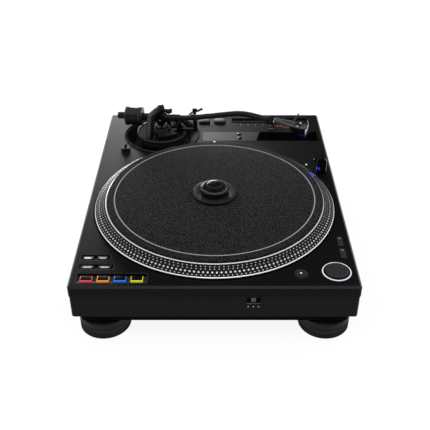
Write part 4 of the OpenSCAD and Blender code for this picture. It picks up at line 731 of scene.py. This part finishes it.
# Black lacquer over a ground surface: deep black, with a soft bright edge where the light comes
# from the side.
black_lacquer = finish("black lacquer", "#0b0b0c", grain=3.0, depth=0.003, rough=(0.28, 0.36),
                       Specular_IOR_Level=0.4)
bridge = Shape("lacquered_bridge")
sections = []
for (x0, z0), (x1, z1) in BRIDGE:
    thick = math.dist((x0, z0), (x1, z1))
    sections.append([
        ((x0 + x1) / 2 + (x1 - x0) / thick * u, v, (z0 + z1) / 2 + (z1 - z0) / thick * u)
        for u, v, _ in rounded(thick, 9.9, 2.3, 0, 6)
    ])
bridge.add(stacked(sections), black_lacquer, at_base @ turn(BRIDGE_TURN, "Z"))
pivot_nut = [(0, 55), (3.6, 55), (4.3, 54.7), (4.65, 54.1), (4.65, 51.4), (4.3, 51), (4.3, 48)]
bridge.add(turned(pivot_nut, 64), black_lacquer, at_base)
column_cap = [(3.2, 33.3), (6, 33.3), (6.25, 33.6), (6.25, 37.8), (5.9, 38.6), (5.2, 39),
              (0, 39.05)]
bridge.add(turned(column_cap, 64), black_lacquer, at_base @ at(8.3, 18.9))
knurled_band = [(14.02, 10.2), (14.1, 10.4, 0.08), (14.1, 15.4, 0.08), (14.02, 15.6)]
bridge.add(turned(knurled_band, 120), grey_anodised, at_base)
bridge.add(turned([(13.6, 16.4), (13.4, 16.56), (10.4, 16.56), (10.2, 16.4)], 120),
           grey_anodised, at_base)
bridge.fix("arm_base", "arm_black", sharp=40)


# Arm tube
# The arm is one aluminium tube bent twice, sleeved where it leaves the bearing block; a thicker
# stub behind the block carries the weight. All of it is sprayed black, and a steel pin carries it
# in the gimbal.
AXIS = TOP + 33.7
at_axis = at(PIVOT_X, PIVOT_Y, AXIS) @ turn(ARM_TURN, "Z")
at_arm = at_axis @ turn(90, "Y")


def wire(path, radius, sides=8, steps=6):
    """A round wire bent smoothly through its points."""
    knots = [Vector(p) for p in path]
    knots = [2 * knots[0] - knots[1]] + knots + [2 * knots[-1] - knots[-2]]
    middles = []
    for a, b, c, d in zip(knots, knots[1:], knots[2:], knots[3:]):
        for t in (i / steps for i in range(steps)):
            bow = (2 * a - 5 * b + 4 * c - d) * t * t + (3 * b - a - 3 * c + d) * t ** 3
            middles.append((2 * b + (c - a) * t + bow) / 2)
    middles.append(knots[-2])
    corners = [2 * math.pi * k / sides for k in range(sides)]
    outlines = []
    for i, middle in enumerate(middles):
        ahead = middles[min(i + 1, len(middles) - 1)] - middles[max(i - 1, 0)]
        across = ahead.to_track_quat("Z", "Y")
        outlines.append([middle + across @ Vector((radius * math.cos(a), radius * math.sin(a), 0))
                         for a in corners])
    return stacked(outlines)


def bend(x, y, radius, *angles):
    """Points of a bend about a centre; a radius below 0 bends the other way."""
    return [(x + radius * math.sin(a), y - radius * math.cos(a), 0)
            for a in (math.radians(d) for d in angles)]


# Sprayed aluminium tube: black and smooth, with one long soft highlight.
sprayed_tube = finish("sprayed black tube", "#161617", grain=1.0, depth=0.004, rough=(0.3, 0.38),
                      Specular_IOR_Level=0.1)
tube = Shape("bent_tube")
tube.add(wire([
    (8, 0, 0), *bend(22, 120, 120, 0, 6, 12, 18), (85, 14.3, 0),
    *bend(125.3, -19.93, -45, 18, 4, -10, -24), (157.3, 15.08, 0), (171, 8.98, 0), (177, 6.3, 0)
], 4.4, 24), sprayed_tube, at_axis)
tube.add(turned([
    (0, -70.1), (4.9, -70.1), (5.5, -69.5), (5.5, -12), (7.2, -12), (7.8, -11.4), (7.8, 7.4),
    (7.2, 8), (5.5, 8), (5.5, 30), (5.2, 30.6), (4.4, 31)
], 64), sprayed_tube, at_arm)
tube.add(turned([(0, -12.5), (1.8, -12.5), (1.8, 12.5), (0, 12.5)], 24), ground_steel,
         at_axis @ turn(90, "X"))
tube.fix("tone_arm", "arm_black", "arm_tube", sharp=40)


# Counterweight and dial
# The weight is turned brass, coated satin black, with a knurled band at its back. The dial in
# front of it is a black ring with a knurled edge and printed ticks that turns on the weight's
# thread; its face is left as turned aluminium, so that the ticks can be read from above.
KNURL, DIAL_FACE, TICKS = 0.25, -30, 20

# Coated brass: black, with a soft broad sheen.
satin_brass = finish("satin black coated brass", "#131314", grain=0.8, depth=0.006,
                     rough=(0.3, 0.4), Specular_IOR_Level=0.2)
weight = Shape("turned_weight")
weight.add(turned([
    (5.8, -57.2), (13.8, -57.2), (14.7, -56.8), (15.1, -56), (15.1, -55.6, KNURL),
    (15.1, -52.2, KNURL), (15, -51.8), (14.4, -51.2), (14.4, -37.2), (14, -36.8), (5.8, -36.8)
], 120), satin_brass, at_arm)
weight.fix("counterweight", "weight_black", "counterweight", sharp=40)
# Turned aluminium: a grey ring of metal, brighter where it turns to the light.
turned_grey = finish("turned grey aluminium", "#77777a", grain=0.8, depth=0.004, rough=(0.3, 0.4),
                     Metallic=1.0)
dial = Shape("ticked_dial")
dial.add_bands((
    (satin_brass, [(5.8, -36.5), (14.7, -36.5), (15.1, -36.1, KNURL), (15.1, -31.6, KNURL),
                   (14.9, -31), (14.5, -30.4)]),
    (turned_grey, [(14.5, -30.4), (13.9, DIAL_FACE), (10.4, DIAL_FACE)]),
    (satin_brass, [(10.4, DIAL_FACE), (5.8, DIAL_FACE), (5.8, -36.5)])
), at_arm, 120)
for i in range(TICKS):
    tick = key_cap(0.5, 2.4 if i % 5 else 3.4, DIAL_FACE - 0.05, DIAL_FACE + INK, 0.1, 0.01)
    dial.add(tick, key_abs, at_arm @ turn(360 / TICKS * i, "Z") @ at(0, 12))
dial.fix("force_dial", "dial_plastic", "force_dial", sharp=40)


# Head
# The knurled collar locks the plug-in headshell, which is cast in aluminium with a slot along its
# neck. The cartridge hangs under it on two screws, wired by four thin leads in the usual colours.
# From here to the leads, points run along the head from the tube's end.
HEAD_X, HEAD_Y, HEAD_TURN = 85.447, 141.395, -30
PINS_Y = (-4.8, -1.7, 1.7, 4.8)
UNDER_FACE, SCREWS_Y = 4.5, (-6, 6)
# Cross-sections of the shell: the place along it, the half width, the top and the underside.
SHELL = ((11.6, 5, 4.9, -4.8), (19, 5.3, 4.9, -3.6), (26, 6.6, 4.8, -0.4), (33, 8.4, 4.7, 1.2),
         (37, 8.7, 4.7, 1.5), (62, 8.7, 4.7, 1.5), (64.4, 7.8, 4.6, 1.6), (65.1, 6.6, 4.4, 1.8))
at_head = at(HEAD_X, HEAD_Y, AXIS) @ turn(HEAD_TURN, "Z")
along_head = at_head @ turn(90, "Y")
collar = Shape("knurled_collar")
collar.add(turned([
    (4.6, 0.4), (5.7, 0.4), (5.9, 0.7), (5.9, 1.9), (6.3, 2.2, KNURL), (6.3, 9.8, KNURL),
    (5.9, 10.1), (5.9, 10.9), (5.7, 11.1), (4.6, 11.1)
], 72), black_anodised, along_head)
collar.fix("locking_collar", "arm_black", "locking_collar", sharp=40)


def cut(x, half, up, low):
    """One cross-section of the shell, with rounded shoulders and narrower below."""
    side = [(half * 0.7, low), (half * 0.94, low + (up - low) * 0.3), (half, up - 1.5),
            (half - 0.3, up - 0.6), (half - 1.1, up)]
    return [(x, -y, z) for y, z in side] + [(x, y, z) for y, z in reversed(side)]


# Cast aluminium, anodised dark grey: even and satin, lighter where an edge turns.
shell_grey = finish("dark grey anodised aluminium", "#333335", grain=0.7, depth=0.006,
                    rough=(0.3, 0.4), Specular_IOR_Level=0.4)
# Chrome: a bright ring that mirrors the room.
chrome = finish("chrome plate", "#c8c8cb", grain=4.0, depth=0.002, rough=(0.08, 0.14), Metallic=1.0)
# Gold-plated brass: warm yellow metal, bright in small points.
gold_plate = finish("gold plated brass", "#c9a64e", grain=0.8, depth=0.004, rough=(0.2, 0.3),
                    Metallic=1.0)
shell = Shape("cast_headshell")
shell.add(stacked([cut(*row) for row in SHELL]), shell_grey, at_head)
shell.add(turned([(4.6, 11.2), (5.5, 11.3), (5.6, 11.8), (5.5, 12.6), (4.8, 12.8)], 48), chrome,
          along_head)
# The slots are not cut: flat dark strips in the shell's face paint the shade inside them, one in
# the neck, one in the middle of the plate, and one for each screw.
shell.add(key_cap(20, 2.4, UNDER_FACE, 4.86, 1.1, 0.02), matt_abs, at_head @ at(32.6, 0))
shell.add(key_cap(11, 5.2, UNDER_FACE, 4.74, 1.2, 0.02), matt_abs, at_head @ at(51.4, 0))
screw = turned([(0, 5.3), (1.1, 5.2), (1.5, 4.9), (1.5, UNDER_FACE), (0, UNDER_FACE)], 24)
for y in SCREWS_Y:
    shell.add(key_cap(14, 2.2, UNDER_FACE, 4.73, 1, 0.02), matt_abs, at_head @ at(52.1, y))
    shell.add(screw, cut_bright, at_head @ at(53.4, y))
finger_lift = stacked([rounded(2.6, 1, 0.4, 0), rounded(2.2, 1, 0.4, 14),
                       rounded(2.4, 0.9, 0.4, 18.6), rounded(1.6, 0.7, 0.3, 19.4)])
shell.add(finger_lift, grey_anodised, at_head @ at(41, 6.7, 4.4) @ turn(-75, "X"))
shell.add(wire([(63.5, 7.2, 11.2), (65, 7.4, 8), (65.9, 7, 4.5), (66.9, 3, 2.4), (67.3, -3, -1),
                (67.2, -7, -4)], 0.45), cut_bright, at_head)
for y in PINS_Y:
    shell.add(turned([(0, 22), (0.7, 22), (0.7, 25.4), (0, 25.4)], 12), gold_plate,
              along_head @ at(3, y))
shell.fix("head", "arm_silver", "headshell", sharp=40)

# White ABS: a plain bright patch on the cartridge's front.
white_abs = finish("white ABS", "#c9c9cb", grain=0.8, depth=0.006, rough=(0.4, 0.5),
                   Specular_IOR_Level=0.3)
# Blue polystyrene: a strong colour with a moulded shine.
blue_styrene = finish("blue polystyrene", "#1438b8", grain=0.8, depth=0.006, rough=(0.25, 0.35),
                      Specular_IOR_Level=0.4)
pickup = Shape("moulded_cartridge")
pickup.add(stacked([
    [(x + on, y * wide, z) for x, y, z in rounded(long, 1, 0.12, up)] for on, long, wide, up in
    ((58.2, 16.4, 12.4, -8.5), (54.4, 24.6, 15, -3), (53.7, 26, 15.6, -1), (53.7, 26, 15.6, 1.5))
]), key_abs, at_head)
pickup.add(key_cap(0.6, 5, -3.4, 1.4, 0.2, 0.1), white_abs, at_head @ at(66.6, -3.2))
pickup.add(stacked([
    [(x + on, y, z) for x, y, z in rounded(long, wide, 1, up)] for on, long, wide, up in
    ((58.8, 11.4, 6.6, -11.5), (59.8, 13.4, 8.4, -9.6), (59.8, 13.4, 8.4, -8.4))
]), blue_styrene, at_head)
pickup.add(turned([(0, -15.6), (0.2, -15.5), (0.9, -11.4), (0, -11.4)], 16), blue_styrene,
           at_head @ at(65.1, 0))
for y in PINS_Y:
    pickup.add(turned([(0, 38.4), (0.7, 38.4), (0.7, 41.6), (0, 41.6)], 12), gold_plate,
               along_head @ at(2.3, y))
pickup.fix("head", "black_plastic", "cartridge", sharp=40)

leads = Shape("thin_leads")
for y, hue, word in zip(PINS_Y, ("#a8262b", "#1f7a3a", "#1d3fc0", "#d0d0d2"),
                        ("red", "green", "blue", "white")):
    # Stranded wire in a soft sleeve: plain colour, a little shine.
    sleeve = finish(f"{word} silicone sleeve", hue, grain=0.6, depth=0.004, rough=(0.4, 0.5),
                    Specular_IOR_Level=0.3)
    leads.add(wire([(24.6, y, -3), (29, y, -3.6), (34, y, -3.5), (38.8, y, -2.3)], 0.75), sleeve,
              at_head)
leads.fix("head", "lead_wire", "headshell_leads")


# Back panel
# A bay in the back of the base holds gold-plated phono jacks, a ground terminal, the data socket,
# the mains inlet and the power switch. Moulded rings at the root of the jacks tell the two
# channels apart.
JACKS_X, JACKS_Y, JACKS_Z = (-46, -32, -18, -4), 214.2, 59.25
# The jacks lie between these places, in metres as the solid's points are.
JACKS_FROM, JACKS_TO = -0.0525, 0.005

dress(moulded_abs, "jack_bay")
dress(key_abs, "power_inlet", "power_switch")
# Nickel-plated steel, on the data socket's shell and the ground terminal: paler and cooler than
# the gold.
nickel = finish("nickel plated steel", "#a9a9a6", grain=0.8, depth=0.004, rough=(0.25, 0.35),
                Metallic=1.0)
dress_faces("rear_sockets", lambda face: 0 if JACKS_FROM < face.center.x < JACKS_TO else 1,
            gold_plate, nickel)
# Red ABS: a plain, dull colour.
red_abs = finish("red ABS", "#8e1f22", grain=0.8, depth=0.006, rough=(0.4, 0.5),
                 Specular_IOR_Level=0.3)
rings = Shape("jack_rings")
for x, material in zip(JACKS_X, (white_abs, red_abs, white_abs, red_abs)):
    rings.add(turned([(4.2, 0), (5.3, 0), (5.3, 1), (5.1, 1.2), (4.2, 1.2)], 48), material,
              at(x, JACKS_Y, JACKS_Z) @ turn(-90, "X"))
rings.fix("chassis", "jack_metal")


# Inside
# Under the platter sit the motor's stator, wound on a steel plate, the magnet ring and the
# spindle's bearing. Boards screwed inside the base carry the keys, the supply and the drive.

# Lacquered steel: brown, half metallic, with a dull shine.
lacquered_steel = finish("lacquered steel", "#6a4a32", grain=1.0, depth=0.01, rough=(0.4, 0.55),
                         Metallic=0.5)
dress(lacquered_steel, "motor_stator")
# Coated ferrite: dull dark grey, like stone.
ferrite = finish("coated ferrite", "#38383a", grain=1.0, depth=0.02, rough=(0.5, 0.65))
dress(ferrite, "rotor_magnet")
dress(gold_plate, "spindle_bearing")
# Solder mask: dark green, with a lacquer's shine.
board_mask = finish("green solder mask", "#16472a", grain=1.5, depth=0.01, rough=(0.3, 0.45))
dress(board_mask, "circuit_boards")


# Studio
# A white paper floor under a white arch that comes down on the left and the right and leaves the
# front and the back dark, so that level black faces stay black. A soft box low at the back left
# lays a gradient over the deck. All places here are in metres.
FLOOR_HALF, FLOOR_GLOW = 12, 0.9
# How far the arch comes down at the sides, where it starts and is full, and its strengths.
SIDES, ARCH_FROM, ARCH_TO = 2.0, 0.56, 0.9
DARK, BRIGHT = 0.025, 1.55
TILT = 34.88

# White paper: flat white without shine, with the shadow faint on it.
floor_paper = finish("white paper floor", "#f7f7f7", grain=8.0, depth=0.02, rough=(0.9, 1.0),
                     Specular_IOR_Level=0.0)
# The eye, and what mirrors the floor, see the paper mostly as plain white.
rays = add(floor_paper, "LightPath").outputs
seen = add(floor_paper, "Math", {0: rays["Is Camera Ray"], 1: rays["Is Glossy Ray"]},
           operation="ADD")
seen = add(floor_paper, "Math", {0: seen.outputs[0], 1: rays["Is Transmission Ray"]},
           operation="ADD", use_clamp=True)
share = add(floor_paper, "Math", {0: seen.outputs[0], 1: FLOOR_GLOW}, operation="MULTIPLY")
glow = add(floor_paper, "Emission", {"Color": linear("#ffffff"), "Strength": 1.0})
paper = add(floor_paper, "MixShader", {0: share.outputs[0], 2: glow.outputs[0]})
tree = floor_paper.node_tree
tree.links.new(tree.nodes["Principled BSDF"].outputs[0], paper.inputs[1])
tree.links.new(paper.outputs[0], tree.nodes["Material Output"].inputs["Surface"])
mesh = bpy.data.meshes.new("floor")
mesh.from_pydata([(x * FLOOR_HALF, y * FLOOR_HALF, 0)
                  for x, y in ((-1, -1), (1, -1), (1, 1), (-1, 1))], [], [(0, 1, 2, 3)])
mesh.materials.append(floor_paper)
floor = bpy.data.objects.new("floor", mesh)
bpy.context.collection.objects.link(floor)

world = bpy.data.worlds.new("studio")
world.use_nodes = True
toward = add(world, "SeparateXYZ", {"Vector": add(world, "TexCoord").outputs["Generated"]}).outputs
up = add(world, "Math", {0: toward["Z"], 1: toward["Z"]}, operation="MULTIPLY")
aside = add(world, "Math", {0: toward["X"], 1: toward["X"]}, operation="MULTIPLY")
arch = add(world, "Math", {0: aside.outputs[0], 1: SIDES, 2: up.outputs[0]},
           operation="MULTIPLY_ADD")
ceiling = add(world, "MapRange", {"Value": arch.outputs[0], "From Min": ARCH_FROM,
                                  "From Max": ARCH_TO, "To Min": DARK, "To Max": BRIGHT},
              interpolation_type="SMOOTHSTEP")
sky = world.node_tree.nodes["Background"].inputs
sky["Color"].default_value = linear("#ffffff")
world.node_tree.links.new(ceiling.outputs["Result"], sky["Strength"])
bpy.context.scene.world = world

lamp("soft_box_back_left", "AREA", (-0.52, 1.95, 0.33), (-0.1, 0.1, 0.1), shape="RECTANGLE",
     size=1.15, size_y=0.35, energy=42)
lamp("soft_box_front", "AREA", (0.1, -1.25, 1.9), (0, 0, 0.1), shape="RECTANGLE",
     size=1.2, size_y=0.8, energy=10)

camera = bpy.data.cameras.new("camera")
camera.lens, camera.sensor_width, camera.shift_x = 58.18, 36.0, 0.00093
view = bpy.data.objects.new("camera", camera)
view.location = (0, -0.8548, 0.63235)
view.rotation_euler = (math.radians(90 - TILT), 0, 0)
bpy.context.collection.objects.link(view)
bpy.context.scene.camera = view
